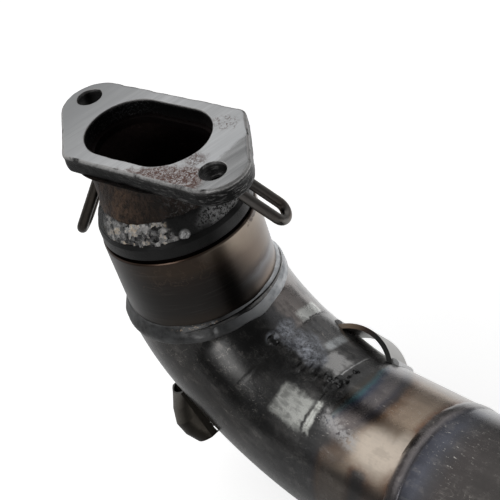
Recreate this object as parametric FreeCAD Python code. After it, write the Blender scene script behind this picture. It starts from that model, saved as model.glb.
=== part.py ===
import FreeCAD, Part
import math
import os

# Scooter exhaust pipe: an oval-port flange on a short neck, a heat-tinted inlet sleeve, a quarter bend
# of welded tube and a plain outlet tube.
# Frame: the origin is the centre of the flange's gasket face, +Z is that face's outward normal and
# +X runs along the flange's long sides. The pipe hangs below the flange and leaves toward +X.
# All sizes are in millimetres and degrees.

# Flange plate
PLATE_T = 6.0
PORT_HALF_LENGTH = 22.3
PORT_HALF_WIDTH = 14.0
BOLT_HOLE_R = 4.25
BOLT_FROM_PORT = 10.1
BOLT_Y = 9.25
PLATE_MARGIN = 4.5
TIP_BEYOND_BOLT = 21.9
PLATE_CORNER_FRONT_X = 20.5
PLATE_CORNER_REAR_X = 25.0
PLATE_TIP_R = 11.2
PLATE_CORNER_R = 4.4
PLATE_EDGE_CHAMFER = 0.5

# Tubes, each sized from the pipe so that one slides in or stands on the next
PIPE_R = 27.2
WALL = 1.8
SLEEVE_STEP = 1.45
SPIGOT_CLEARANCE = 0.3
NECK_STEP = 1.85
NECK_WALL = 2.2
COLLAR_STEP = 0.4

# Direction of the neck and sleeve, and of the bend
INLET_TILT = 4.5
INLET_AZIMUTH = -40.0
BEND_AZIMUTH = -11.2

# Lengths along the centre line, from the gasket face to the outlet
NECK_BLEND_LENGTH = 12.0
COLLAR_RUN_LENGTH = 7.0
COLLAR_LENGTH = 5.8
MOUTH_GAP = 1.0
SPIGOT_LENGTH = 16.2
SLEEVE_STRAIGHT_LENGTH = 25.3
SLEEVE_OVER_BEND = 3.8
ELBOW_UPPER_LENGTH = 39.1
ELBOW_LOWER_LENGTH = 35.5
TINTED_LENGTH = 39.5
OUTLET_LENGTH = 60.0

# The two bends that follow one another
TIGHT_BEND_INSIDE_R = 5.7
TIGHT_BEND_ANGLE = 42.9
WIDE_BEND_INSIDE_R = 48.9
WIDE_BEND_ANGLE = 47.5

# Bevels of the collar's ring
COLLAR_TOP_BEVEL_W = 0.55
COLLAR_TOP_BEVEL_H = 1.6
COLLAR_END_BEVEL = 0.5

# Weld runs
FLANGE_FILLET = 3.2
FLANGE_FILLET_FOOT = 0.2
PORT_RUN_W = 1.3
PORT_RUN_H = 2.4
COLLAR_RUN_TOE_W = 0.6
COLLAR_RUN_TOE_H = 0.3
COLLAR_RUN_HOLLOW = 1.5
COLLAR_RUN_BELOW_RIM = 0.65
MAIN_RUN_HALF = 4.2
MAIN_RUN_PROUD = 0.75
MAIN_RUN_TOE = 0.6
MAIN_RUN_ROUND = 0.4
MAIN_RUN_SUNK = 2.0
SEAM_HALF = 0.9
SEAM_PROUD = 0.3
OUTLET_SEAM_HALF = 1.5
OUTLET_SEAM_PROUD = 0.6

# Spring hooks: loops of round rod under the flange
HOOK_ROD_R = 1.75
HOOK_BELOW_PLATE = 6.8
HOOK_ROOT_DEPTH = 1.13
HOOK_TAIL = 4.0
HOOK_ANGLE = 7.2
HOOK_SWING = 30.4
HOOK_OFF_NECK = 47.0
HOOK_TWIST = -13.2
HOOK_LENGTH = 27.2
HOOK_SPACING = 6.9
HOOK_RUN_R = 3.1
HOOK_RUN_BACK = 0.8

# Arched strap on the upper side of the bend
STRAP_PAST_SEAM = 24.7
STRAP_ANGLE = -58.4
STRAP_T = 1.65
STRAP_IN_R = 14.9
STRAP_CLEAR = 3.25
STRAP_W = 15.7
STRAP_HALF_SPAN = 58.0
STRAP_RUN_R = 2.1
STRAP_RUN_INSET = 0.8
STRAP_RUN_SUNK = 0.4
STRAP_RUN_PAST = 0.2

# Folded channel bracket on the lower side of the bend: a low near wall up to a crease, then an arched
# face that rises from end to end and comes down behind
SIDE_BEFORE_SEAM = 7.4
SIDE_ANGLE = 108.5
SIDE_T = 1.2
SIDE_LENGTH = 17.8
SIDE_SKEW = 0.42
SIDE_DEPTH = 14.5
SIDE_SKEW_FROM = 2.2
SIDE_CREASE_START = 0.9
SIDE_CREASE_END = 2.7
SIDE_START_HEIGHT = 2.3
SIDE_RISE_HEIGHT = 6.2
SIDE_PEAK_HEIGHT = 8.7
SIDE_END_HEIGHT = 7.2
SIDE_REAR_SHARE = 0.4

# Weld lumps left on the bend beside its seams, each with its size share, way past the seam and angle
LUMP_R = 3.4
LUMP_PROUD = 1.1
UPPER_LUMP = (0.75, -3.5, 9.0)
LOWER_LUMPS = ((0.85, -5.5, 3.0), (1.0, 2.1, -3.5), (0.8, 2.5, -13.0))

# How far the cutting shapes run past what they cut
OVERRUN = 1.0

V = FreeCAD.Vector


def unit(v):
    """The same direction with length one."""
    return V(v).multiply(1.0 / v.Length)


def rad(degrees):
    return math.radians(degrees)


# Directions that everything is placed by
AXIS_IN = V(
    math.sin(rad(INLET_TILT)) * math.cos(rad(INLET_AZIMUTH)),
    math.sin(rad(INLET_TILT)) * math.sin(rad(INLET_AZIMUTH)),
    -math.cos(rad(INLET_TILT)))
LEVEL = V(math.cos(rad(BEND_AZIMUTH)), math.sin(rad(BEND_AZIMUTH)), 0)
INWARD = unit(LEVEL - AXIS_IN * AXIS_IN.dot(LEVEL))
SIDEWAYS = AXIS_IN.cross(INWARD)

# Radii that follow from the pipe
SLEEVE_R = PIPE_R - SLEEVE_STEP
SPIGOT_R = SLEEVE_R - WALL - SPIGOT_CLEARANCE
NECK_R = SPIGOT_R - NECK_STEP
COLLAR_R = SLEEVE_R - COLLAR_STEP
MAIN_RUN_R = PIPE_R + MAIN_RUN_PROUD
TIGHT_BEND_R = PIPE_R + TIGHT_BEND_INSIDE_R
WIDE_BEND_R = PIPE_R + WIDE_BEND_INSIDE_R

# Stations along the centre line, measured from the gasket face
NECK_ROUND_S = PLATE_T + NECK_BLEND_LENGTH
COLLAR_TOP_S = NECK_ROUND_S + COLLAR_RUN_LENGTH
COLLAR_END_S = COLLAR_TOP_S + COLLAR_LENGTH
MOUTH_S = COLLAR_END_S + MOUTH_GAP
SPIGOT_END_S = COLLAR_END_S + SPIGOT_LENGTH
TIGHT_BEND_S = MOUTH_S + SLEEVE_STRAIGHT_LENGTH
SLEEVE_END_S = TIGHT_BEND_S + SLEEVE_OVER_BEND
UPPER_SEAM_S = SLEEVE_END_S + ELBOW_UPPER_LENGTH
LOWER_SEAM_S = UPPER_SEAM_S + ELBOW_LOWER_LENGTH
OUTLET_SEAM_S = LOWER_SEAM_S + TINTED_LENGTH
OUTLET_END_S = OUTLET_SEAM_S + OUTLET_LENGTH
WIDE_BEND_S = TIGHT_BEND_S + TIGHT_BEND_R * rad(TIGHT_BEND_ANGLE)
STRAIGHT_S = WIDE_BEND_S + WIDE_BEND_R * rad(WIDE_BEND_ANGLE)
HOOK_S = PLATE_T + HOOK_BELOW_PLATE
STRAP_S = UPPER_SEAM_S + STRAP_PAST_SEAM
SIDE_S = UPPER_SEAM_S - SIDE_BEFORE_SEAM

# Sizes of the flange plate that follow from its port and its bolt holes
BOLT_X = PORT_HALF_LENGTH + BOLT_FROM_PORT
PLATE_TIP_X = BOLT_X + TIP_BEYOND_BOLT
PLATE_HALF_WIDTH = PORT_HALF_WIDTH + PLATE_MARGIN


def turned(angle):
    """Centre-line direction after the bend has turned by an angle in radians."""
    return AXIS_IN * math.cos(angle) + INWARD * math.sin(angle)


def inner_side(angle):
    """Direction toward the inside of the bend at that angle."""
    return INWARD * math.cos(angle) - AXIS_IN * math.sin(angle)


def turn_at(s):
    """Angle in radians that the centre line has turned by at a station."""
    tight = min(max(s - TIGHT_BEND_S, 0), WIDE_BEND_S - TIGHT_BEND_S) / TIGHT_BEND_R
    wide = min(max(s - WIDE_BEND_S, 0), STRAIGHT_S - WIDE_BEND_S) / WIDE_BEND_R
    return tight + wide


def on_arc(start, angle, radius, swept):
    """A point on an arc that starts at a point with the centre line turned by an angle."""
    centre = start + inner_side(angle) * radius
    return centre - inner_side(angle + swept) * radius


def centre_at(s):
    """Point of the centre line at a station."""
    point = AXIS_IN * min(s, TIGHT_BEND_S)
    if s <= TIGHT_BEND_S:
        return point
    swept = (min(s, WIDE_BEND_S) - TIGHT_BEND_S) / TIGHT_BEND_R
    point = on_arc(point, 0.0, TIGHT_BEND_R, swept)
    if s <= WIDE_BEND_S:
        return point
    start = turn_at(WIDE_BEND_S)
    swept = (min(s, STRAIGHT_S) - WIDE_BEND_S) / WIDE_BEND_R
    point = on_arc(point, start, WIDE_BEND_R, swept)
    if s <= STRAIGHT_S:
        return point
    return point + turned(turn_at(s)) * (s - STRAIGHT_S)


def direction_at(s):
    return turned(turn_at(s))


def outward_at(s, angle):
    """Direction out of the tube's side, the angle measured from the inside of the bend."""
    return inner_side(turn_at(s)) * math.cos(rad(angle)) + SIDEWAYS * math.sin(rad(angle))


def rod_piece(a, b, radius):
    """A round bar along one straight or one arc of the centre line."""
    start = centre_at(a)
    ahead = direction_at(a)
    if b <= TIGHT_BEND_S or a >= STRAIGHT_S:
        return Part.makeCylinder(radius, b - a, start, ahead)
    bend_r = TIGHT_BEND_R if b <= WIDE_BEND_S else WIDE_BEND_R
    hub = start + inner_side(turn_at(a)) * bend_r
    disc = Part.Face(Part.Wire(Part.Circle(start, ahead, radius).toShape()))
    return disc.revolve(hub, SIDEWAYS, math.degrees((b - a) / bend_r))


def rod_pieces(s0, s1, radius):
    """The straight and curved bars that follow one another along the centre line."""
    stops = [s0]
    for stop in (TIGHT_BEND_S, WIDE_BEND_S, STRAIGHT_S):
        if s0 < stop < s1:
            stops.append(stop)
    stops.append(s1)
    return [rod_piece(a, b, radius) for a, b in zip(stops, stops[1:])]


def rod(s0, s1, radius):
    """A solid round bar that follows the centre line."""
    pieces = rod_pieces(s0, s1, radius)
    body = pieces[0]
    for piece in pieces[1:]:
        body = body.fuse(piece)
    return body


def cut_each(shape, blocks):
    """The shape with each block taken out of it in turn."""
    for block in blocks:
        shape = shape.cut(block)
    return shape


def tube(s0, s1, outer, inner):
    """A tube that follows the centre line, with square ends."""
    return rod(s0, s1, outer).cut(rod(s0, s1, inner))


def turned_ring(profile):
    """A ring about the inlet axis from radius and station pairs."""
    points = [INWARD * r + AXIS_IN * s for r, s in profile]
    face = Part.Face(Part.makePolygon(points + points[:1]))
    return face.revolve(V(0, 0, 0), AXIS_IN, 360)


def stadium(half_length, half_width, z, grow):
    """An oval wire with straight long sides, grown outward by an amount."""
    flat = half_length - half_width
    r = half_width + grow
    right_arc = Part.Arc(V(flat, -r, z), V(flat + r, 0, z), V(flat, r, z)).toShape()
    left_arc = Part.Arc(V(-flat, r, z), V(-flat - r, 0, z), V(-flat, -r, z)).toShape()
    top = Part.LineSegment(V(flat, r, z), V(-flat, r, z)).toShape()
    bottom = Part.LineSegment(V(-flat, -r, z), V(flat, -r, z)).toShape()
    return Part.Wire([right_arc, top, left_arc, bottom])


def neck_axes():
    """Two directions square to the inlet axis, in line with the plate's long and short sides."""
    across = unit(V(1, 0, 0) - AXIS_IN * AXIS_IN.x)
    other = across.cross(AXIS_IN)
    if other.y < 0:
        other = other * -1
    return across, other


def split_circle(radius, s):
    """The neck's round section, split where the oval's arcs meet its straight sides."""
    across, other = neck_axes()
    flat = PORT_HALF_LENGTH - PORT_HALF_WIDTH
    split = math.atan2(PORT_HALF_WIDTH, flat)

    def at(angle):
        return AXIS_IN * s + across * (radius * math.cos(angle)) + other * (radius * math.sin(angle))

    stops = [-split, split, math.pi - split, math.pi + split, 2 * math.pi - split]
    edges = []
    for a, b in zip(stops, stops[1:]):
        edges.append(Part.Arc(at(a), at((a + b) / 2), at(b)).toShape())
    return Part.Wire(edges)


def neck_reach(angle, s):
    """How far the neck's outside lies from its axis, in a direction near its long side."""
    flat = PORT_HALF_LENGTH - PORT_HALF_WIDTH
    arc_r = PORT_HALF_WIDTH + NECK_WALL
    at_plate = flat * math.cos(rad(angle)) + math.sqrt(arc_r ** 2 - (flat * math.sin(rad(angle))) ** 2)
    share = (s - PLATE_T) / (NECK_ROUND_S - PLATE_T)
    return at_plate + (NECK_R - at_plate) * share


def neck_slope(angle):
    """Angle in degrees by which the neck's outside closes in toward the collar."""
    narrowing = neck_reach(angle, PLATE_T) - neck_reach(angle, NECK_ROUND_S)
    return math.degrees(math.atan2(narrowing, NECK_BLEND_LENGTH))


def oval(grow, z):
    """The port's outline at a height, grown outward by an amount."""
    return stadium(PORT_HALF_LENGTH, PORT_HALF_WIDTH, z, grow)


def neck_body(grow, radius):
    """The neck's solid shape: oval at the flange, round from the collar down."""
    blend = Part.makeLoft([oval(grow, -PLATE_T), split_circle(radius, NECK_ROUND_S)], True, True)
    straight = Part.makeCylinder(
        radius, COLLAR_END_S - NECK_ROUND_S, AXIS_IN * NECK_ROUND_S, AXIS_IN)
    return blend.fuse(straight)


def plate_outline(z):
    """A skewed four-sided wire with large corners at the bolts and small ones between."""
    corners = [
        (-PLATE_TIP_X, PLATE_HALF_WIDTH, PLATE_TIP_R),
        (PLATE_CORNER_REAR_X, PLATE_HALF_WIDTH, PLATE_CORNER_R),
        (PLATE_TIP_X, -PLATE_HALF_WIDTH, PLATE_TIP_R),
        (-PLATE_CORNER_FRONT_X, -PLATE_HALF_WIDTH, PLATE_CORNER_R)]
    starts = []
    middles = []
    ends = []
    for i, (x, y, r) in enumerate(corners):
        here = V(x, y, z)
        before = unit(V(corners[i - 1][0], corners[i - 1][1], z) - here)
        after_x, after_y, _ = corners[(i + 1) % 4]
        after = unit(V(after_x, after_y, z) - here)
        half = math.acos(before.dot(after)) / 2
        inward = unit(before + after)
        starts.append(here + before * (r / math.tan(half)))
        ends.append(here + after * (r / math.tan(half)))
        middles.append(here + inward * (r / math.sin(half) - r))
    edges = []
    for i in range(4):
        edges.append(Part.Arc(starts[i], middles[i], ends[i]).toShape())
        edges.append(Part.LineSegment(ends[i], starts[(i + 1) % 4]).toShape())
    return Part.Wire(edges)


def make_flange_plate():
    """The skewed plate with its bevelled rim, two bolt holes and oval port."""
    plate = Part.Face(plate_outline(-PLATE_T)).extrude(V(0, 0, PLATE_T))
    rim = [e for e in plate.Edges if e.BoundBox.ZMin > -PLATE_T / 2]
    plate = plate.makeChamfer(PLATE_EDGE_CHAMFER, rim)
    below = -PLATE_T - OVERRUN
    through = PLATE_T + 2 * OVERRUN
    for side in (-1, 1):
        hole = Part.makeCylinder(BOLT_HOLE_R, through, V(side * BOLT_X, -side * BOLT_Y, below))
        plate = plate.cut(hole)
    port = Part.Face(oval(0, below)).extrude(V(0, 0, through))
    return plate.cut(port)


def hook_frame(turned_by):
    """Base point, leg direction and leg-to-leg direction of a hook, for its turn about the neck."""
    across, other = neck_axes()
    angle = rad(HOOK_ANGLE + turned_by)
    outward = across * math.cos(angle) + other * math.sin(angle)
    along = other * math.cos(angle) - across * math.sin(angle)
    base = AXIS_IN * HOOK_S + outward * (neck_reach(HOOK_ANGLE, HOOK_S) - HOOK_ROOT_DEPTH)
    swing = rad(HOOK_SWING)
    level = outward * math.cos(swing) + along * math.sin(swing)
    side = along * math.cos(swing) - outward * math.sin(swing)
    drop = rad(90 + neck_slope(HOOK_ANGLE) - HOOK_OFF_NECK)
    leg = level * math.cos(drop) + AXIS_IN * math.sin(drop)
    lift = AXIS_IN * math.cos(drop) - level * math.sin(drop)
    twist = rad(HOOK_TWIST)
    across_legs = side * math.cos(twist) + lift * math.sin(twist)
    return base, leg, across_legs


def make_hook(turned_by, neck):
    """A loop of round rod: two legs that end on the neck and a half turn that joins them."""
    base, leg, across_legs = hook_frame(turned_by)
    half = HOOK_SPACING / 2
    straight = HOOK_LENGTH - half
    foot = base - across_legs * half - leg * HOOK_TAIL
    leg_a = Part.makeCylinder(HOOK_ROD_R, HOOK_TAIL + straight, foot, leg)
    leg_b = leg_a.translated(across_legs * HOOK_SPACING)
    end = base + leg * straight
    disc = Part.Face(Part.Wire(Part.Circle(end - across_legs * half, leg, HOOK_ROD_R).toShape()))
    turn = disc.revolve(end, leg.cross(across_legs), 180)
    return largest(leg_a.fuse(turn).fuse(leg_b).cut(neck))


def leg_leaves_neck(turned_by, neck):
    """How far along a hook's first leg the last of its round is clear of the neck."""
    base, leg, across_legs = hook_frame(turned_by)
    foot = base - across_legs * (HOOK_SPACING / 2) - leg * HOOK_TAIL
    buried = Part.makeCylinder(HOOK_ROD_R, HOOK_TAIL + HOOK_LENGTH, foot, leg).common(neck)
    return max((point - base).dot(leg) for edge in buried.Edges for point in edge.discretize(24))


def make_hook_run(turned_by, neck, blocks):
    """The weld lump that both legs of a hook stand in, where the first leg leaves the neck."""
    base, leg, across_legs = hook_frame(turned_by)
    half = HOOK_SPACING / 2
    middle = base + leg * (leg_leaves_neck(turned_by, neck) - HOOK_RUN_BACK)
    edges = []
    shoulders = []
    tips = []
    for side in (-1, 1):
        end = middle + across_legs * (side * half)
        tip = end + across_legs * (side * HOOK_RUN_R)
        between = end + unit(across_legs * side + leg) * HOOK_RUN_R
        shoulder = end + leg * HOOK_RUN_R
        edges.append(Part.Arc(tip, between, shoulder).toShape())
        tips.append(tip)
        shoulders.append(shoulder)
    edges.insert(1, Part.LineSegment(shoulders[0], shoulders[1]).toShape())
    edges.append(Part.LineSegment(tips[1], tips[0]).toShape())
    lump = Part.Face(Part.Wire(edges)).revolve(middle, across_legs, 360)
    return largest(cut_each(lump, blocks))


def largest(shape):
    """The biggest solid of a shape, so that no sliver stays with it."""
    solids = sorted(shape.Solids, key=lambda one: one.Volume)
    return solids[-1]


def strap_frame():
    along = direction_at(STRAP_S)
    out = outward_at(STRAP_S, STRAP_ANGLE)
    return centre_at(STRAP_S), along, out, out.cross(along)


def make_strap(pipe):
    """A strip bent into an arch whose feet stand on the pipe."""
    centre, along, out, wide = strap_frame()
    top = PIPE_R + STRAP_CLEAR
    hub = centre + out * (top - STRAP_IN_R)

    def at(radius, degrees):
        t = rad(degrees)
        return hub + out * (radius * math.cos(t)) + along * (radius * math.sin(t)) \
            - wide * (STRAP_W / 2)

    outer_r = STRAP_IN_R + STRAP_T
    span = STRAP_HALF_SPAN
    edges = [
        Part.Arc(at(outer_r, -span), at(outer_r, 0), at(outer_r, span)).toShape(),
        Part.LineSegment(at(outer_r, span), at(STRAP_IN_R, span)).toShape(),
        Part.Arc(at(STRAP_IN_R, span), at(STRAP_IN_R, 0), at(STRAP_IN_R, -span)).toShape(),
        Part.LineSegment(at(STRAP_IN_R, -span), at(outer_r, -span)).toShape()]
    band = Part.Face(Part.Wire(edges)).extrude(wide * STRAP_W)
    return largest(cut_each(band, pipe))


def make_strap_run(side, blocks):
    """The weld along one foot of the strap, on the outer side of the arch."""
    centre, along, out, wide = strap_frame()
    outer_r = STRAP_IN_R + STRAP_T
    hub_height = PIPE_R + STRAP_CLEAR - STRAP_IN_R
    reach = math.sqrt(outer_r ** 2 - (PIPE_R - hub_height) ** 2)
    foot = centre + out * (PIPE_R - STRAP_RUN_SUNK) + along * (side * (reach + STRAP_RUN_PAST))
    length = STRAP_W - 2 * STRAP_RUN_INSET
    run = Part.makeCylinder(STRAP_RUN_R, length, foot - wide * (length / 2), wide)
    return largest(cut_each(run, blocks))


def side_section(step, crease, peak, inset):
    """The bracket's closed outline across the channel, at a step from its first end to its last."""
    out = outward_at(SIDE_S, SIDE_ANGLE)
    along = direction_at(SIDE_S)
    deep = along.cross(out)
    seat = centre_at(SIDE_S) + out * PIPE_R + along * (SIDE_LENGTH * (step - 0.5))

    def at(depth, height):
        return seat + deep * depth - along * (SIDE_SKEW * (depth - SIDE_SKEW_FROM)) + out * height

    near = inset
    far = SIDE_DEPTH - inset
    root = -PIPE_R / 2
    near_root = at(near, root)
    near_top = at(near, crease - inset)
    far_top = at(far, peak * SIDE_REAR_SHARE - inset)
    far_root = at(far, root)
    arch = Part.Arc(near_top, at(SIDE_DEPTH / 2, peak - inset), far_top).toShape()
    return Part.Wire([
        Part.LineSegment(near_root, near_top).toShape(), arch,
        Part.LineSegment(far_top, far_root).toShape(),
        Part.LineSegment(far_root, near_root).toShape()])


def make_side_bracket(pipe):
    """A sheet folded into a channel that stands on the pipe along both edges."""
    heights = [SIDE_START_HEIGHT, SIDE_RISE_HEIGHT, SIDE_PEAK_HEIGHT, SIDE_PEAK_HEIGHT, SIDE_END_HEIGHT]
    past_end = OVERRUN / SIDE_LENGTH
    outer = []
    inner = []
    for i, peak in enumerate(heights):
        step = i / (len(heights) - 1)
        crease = SIDE_CREASE_START + (SIDE_CREASE_END - SIDE_CREASE_START) * step
        outer.append(side_section(step, crease, peak, 0.0))
        inner.append(side_section(step * (1 + 2 * past_end) - past_end, crease, peak, SIDE_T))
    shell = Part.makeLoft(outer, True, True).cut(Part.makeLoft(inner, True, True))
    return largest(cut_each(shell, pipe))


def lump_at(s, angle, radius, proud, pipe):
    """A low round weld lump on the pipe's side."""
    out = outward_at(s, angle)
    sink = radius - proud
    ball = Part.makeSphere(radius, centre_at(s) + out * (PIPE_R - sink))
    return largest(cut_each(ball, pipe))


def make_neck(nodes):
    """The neck with the weld runs that join it to the plate, inside and outside, and its two hooks."""
    neck_solid = neck_body(NECK_WALL, NECK_R)
    neck_hollow = neck_body(0.0, NECK_R - NECK_WALL)
    nodes["neck_tube"] = largest(neck_solid.cut(neck_hollow))

    turns = (("right", 0.0), ("left", 180.0))
    for name, turned_by in turns:
        nodes["hook_" + name] = make_hook(turned_by, neck_solid)

    fillet_top = oval(NECK_WALL + FLANGE_FILLET, -PLATE_T)
    fillet_low = oval(NECK_WALL + FLANGE_FILLET_FOOT, -PLATE_T - FLANGE_FILLET)
    fillet = Part.makeLoft([fillet_top, fillet_low], True, True)
    hook_pair = nodes["hook_right"].fuse(nodes["hook_left"])
    nodes["flange_weld"] = largest(fillet.cut(neck_solid).cut(hook_pair))

    slab = Part.Face(oval(NECK_R, -PLATE_T - PORT_RUN_H)).extrude(V(0, 0, PORT_RUN_H))
    port_hole = Part.Face(oval(-PORT_RUN_W, -PLATE_T - PORT_RUN_H)).extrude(V(0, 0, PORT_RUN_H))
    nodes["port_weld"] = largest(neck_hollow.common(slab).cut(port_hole))

    for name, turned_by in turns:
        blocks = [
            neck_solid, nodes["hook_" + name], nodes["flange_plate"], nodes["flange_weld"],
            nodes["collar_weld"]]
        nodes["hook_weld_" + name] = make_hook_run(turned_by, neck_solid, blocks)


def make_collar(nodes):
    """The ring round the neck's end, the sloping weld above it and the spigot below it."""
    nodes["collar"] = turned_ring([
        (NECK_R, COLLAR_TOP_S), (COLLAR_R - COLLAR_TOP_BEVEL_W, COLLAR_TOP_S),
        (COLLAR_R, COLLAR_TOP_S + COLLAR_TOP_BEVEL_H), (COLLAR_R, COLLAR_END_S - COLLAR_END_BEVEL),
        (COLLAR_R - COLLAR_END_BEVEL, COLLAR_END_S), (NECK_R, COLLAR_END_S)])
    nodes["collar_weld"] = turned_ring([
        (NECK_R, NECK_ROUND_S), (NECK_R + COLLAR_RUN_TOE_W, NECK_ROUND_S + COLLAR_RUN_TOE_H),
        (COLLAR_R - COLLAR_RUN_HOLLOW, NECK_ROUND_S + COLLAR_RUN_LENGTH / 2),
        (COLLAR_R - COLLAR_RUN_BELOW_RIM, COLLAR_TOP_S), (NECK_R, COLLAR_TOP_S)])
    nodes["spigot"] = tube(COLLAR_END_S, SPIGOT_END_S, SPIGOT_R, SPIGOT_R - NECK_WALL)


def make_tubes(nodes):
    """The sleeve, the bend's two elbows, the tinted tube and the outlet, with the seams between."""
    pipe_in = PIPE_R - WALL
    seam_r = PIPE_R + SEAM_PROUD
    outlet_seam_r = PIPE_R + OUTLET_SEAM_PROUD
    stops = (
        ("elbow_upper", UPPER_SEAM_S - SEAM_HALF, PIPE_R),
        ("upper_seam", UPPER_SEAM_S + SEAM_HALF, seam_r),
        ("elbow_lower", LOWER_SEAM_S - SEAM_HALF, PIPE_R),
        ("lower_seam", LOWER_SEAM_S + SEAM_HALF, seam_r),
        ("tinted_tube", OUTLET_SEAM_S - OUTLET_SEAM_HALF, PIPE_R),
        ("outlet_weld", OUTLET_SEAM_S + OUTLET_SEAM_HALF, outlet_seam_r),
        ("outlet_tube", OUTLET_END_S, PIPE_R))
    nodes["inlet_sleeve"] = tube(MOUTH_S, SLEEVE_END_S, SLEEVE_R, SLEEVE_R - WALL)
    start = SLEEVE_END_S
    for name, end, outer in stops:
        nodes[name] = tube(start, end, outer, pipe_in)
        start = end


def make_main_run():
    """The heavy weld run round the sleeve's end, thick enough to ride up on the bend."""
    half = MAIN_RUN_HALF
    inner = SLEEVE_R - MAIN_RUN_SUNK
    profile = [
        (inner, -half), (SLEEVE_R + MAIN_RUN_TOE, -half), (MAIN_RUN_R - MAIN_RUN_ROUND, -half / 2),
        (MAIN_RUN_R, 0), (MAIN_RUN_R, half / 2), (MAIN_RUN_R - MAIN_RUN_ROUND, half - MAIN_RUN_ROUND),
        (inner, half)]
    run = turned_ring([(r, SLEEVE_END_S + s) for r, s in profile])
    elbow_core = rod(SLEEVE_END_S, UPPER_SEAM_S, PIPE_R)
    sleeve_core = rod(MOUTH_S, SLEEVE_END_S, SLEEVE_R)
    return largest(run.cut(sleeve_core).cut(elbow_core))


def make_brackets(nodes):
    """The arched strap with its two weld runs, the folded bracket and the small weld lumps."""
    bend_core = rod_pieces(SLEEVE_END_S, OUTLET_SEAM_S - OUTLET_SEAM_HALF, PIPE_R)
    seams = [nodes["upper_seam"], nodes["lower_seam"]]
    strap = largest(cut_each(make_strap(bend_core), seams))
    nodes["strap_bracket"] = strap
    for name, side in (("upper", -1), ("lower", 1)):
        nodes["strap_weld_" + name] = make_strap_run(side, bend_core + seams + [strap])

    elbows = [nodes["elbow_upper"], nodes["elbow_lower"]]
    nodes["side_bracket"] = largest(cut_each(make_side_bracket(bend_core), seams + elbows))

    lumps = [(UPPER_SEAM_S, UPPER_LUMP)]
    lumps += [(LOWER_SEAM_S, one) for one in LOWER_LUMPS]
    taken = list(seams)
    for i, (seam_s, (size, past_seam, angle)) in enumerate(lumps):
        ball = lump_at(seam_s + past_seam, angle, LUMP_R * size, LUMP_PROUD * size, bend_core)
        lump = largest(cut_each(ball, taken))
        nodes["weld_lump_%d" % (i + 1)] = lump
        taken.append(lump)


def build():
    nodes = {}
    nodes["flange_plate"] = make_flange_plate()
    make_collar(nodes)
    make_neck(nodes)
    make_tubes(nodes)
    nodes["sleeve_weld"] = make_main_run()
    make_brackets(nodes)
    return nodes


def main():
    os.makedirs("parts", exist_ok=True)
    for name, shape in build().items():
        shape.exportStep(os.path.join("parts", name + ".step"))
        print(name, round(shape.Volume, 1), shape.isValid(), len(shape.Solids))


main()
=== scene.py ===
import math

import bmesh
import bpy
import numpy as np
from mathutils import Matrix, Vector, noise


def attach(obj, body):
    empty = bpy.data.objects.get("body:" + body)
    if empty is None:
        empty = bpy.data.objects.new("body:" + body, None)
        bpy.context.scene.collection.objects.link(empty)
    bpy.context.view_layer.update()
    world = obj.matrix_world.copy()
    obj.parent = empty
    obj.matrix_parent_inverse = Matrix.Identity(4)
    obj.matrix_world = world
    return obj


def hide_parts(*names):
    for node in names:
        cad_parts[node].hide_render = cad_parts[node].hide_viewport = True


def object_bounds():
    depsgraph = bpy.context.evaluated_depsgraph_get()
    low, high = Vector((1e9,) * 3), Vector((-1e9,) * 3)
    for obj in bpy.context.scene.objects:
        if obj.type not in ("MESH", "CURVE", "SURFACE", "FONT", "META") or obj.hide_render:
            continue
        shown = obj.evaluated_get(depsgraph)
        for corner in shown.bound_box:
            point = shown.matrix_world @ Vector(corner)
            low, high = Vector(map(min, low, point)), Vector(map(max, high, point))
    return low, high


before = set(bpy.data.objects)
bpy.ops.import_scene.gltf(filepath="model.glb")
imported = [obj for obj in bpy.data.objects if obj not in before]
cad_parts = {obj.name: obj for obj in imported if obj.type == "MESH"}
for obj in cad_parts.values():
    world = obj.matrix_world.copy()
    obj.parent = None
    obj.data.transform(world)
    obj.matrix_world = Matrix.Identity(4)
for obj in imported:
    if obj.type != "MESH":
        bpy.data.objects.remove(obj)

cad_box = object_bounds()
MM = 0.001
COAT_ROUGHNESS = 0.26

# Sizes of the part, in millimetres and degrees, as the solids have them
PLATE_T = 6.0
PIPE_R = 27.2
WALL = 1.8
SLEEVE_R = 25.75
NECK_R = 21.8
COLLAR_R = 25.35
NECK_ROUND_S = 18.0
COLLAR_TOP_S = 25.0
MOUTH_S = 31.8
TIGHT_BEND_S = 57.1
TIGHT_BEND_R = 32.9
TIGHT_BEND_ANGLE = 42.9
WIDE_BEND_R = 76.1
WIDE_BEND_ANGLE = 47.5
SLEEVE_END_S = 60.9
UPPER_SEAM_S = 100.0
LOWER_SEAM_S = 135.5
OUTLET_SEAM_S = 175.0
OUTLET_END_S = 235.0
SEAM_HALF = 0.9
OUTLET_SEAM_HALF = 1.5
INLET_TILT = 4.5
INLET_AZIMUTH = -40.0
BEND_AZIMUTH = -11.2
PORT_HALF_LENGTH = 22.3
PORT_HALF_WIDTH = 14.0
BOLT_X = 32.4
BOLT_Y = 9.25
BOLT_HOLE_R = 4.25
PLATE_HALF_WIDTH = 18.5
PLATE_TIP_X = 54.3
PLATE_CORNER_FRONT_X = 20.5
PLATE_CORNER_REAR_X = 25.0
PLATE_TIP_R = 11.2
PLATE_CORNER_R = 4.4
MAIN_BEAD_TOP_S = 57.3
MAIN_BEAD_FOOT_S = 64.4
STRAP_S = 124.7
STRAP_ANGLE = -58.4

# Camera, from the photograph's perspective
CAMERA_AT = (238.08, -195.73, 203.34)
CAMERA_RIGHT = (0.7966, 0.5516, -0.2473)
CAMERA_UP = (-0.2294, 0.6544, 0.7205)
CAMERA_BACK = (0.5593, -0.5173, 0.6478)
FOCAL_PIXELS = 1199.0
IMAGE_PIXELS = 500.0
SENSOR = 36.0

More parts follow.
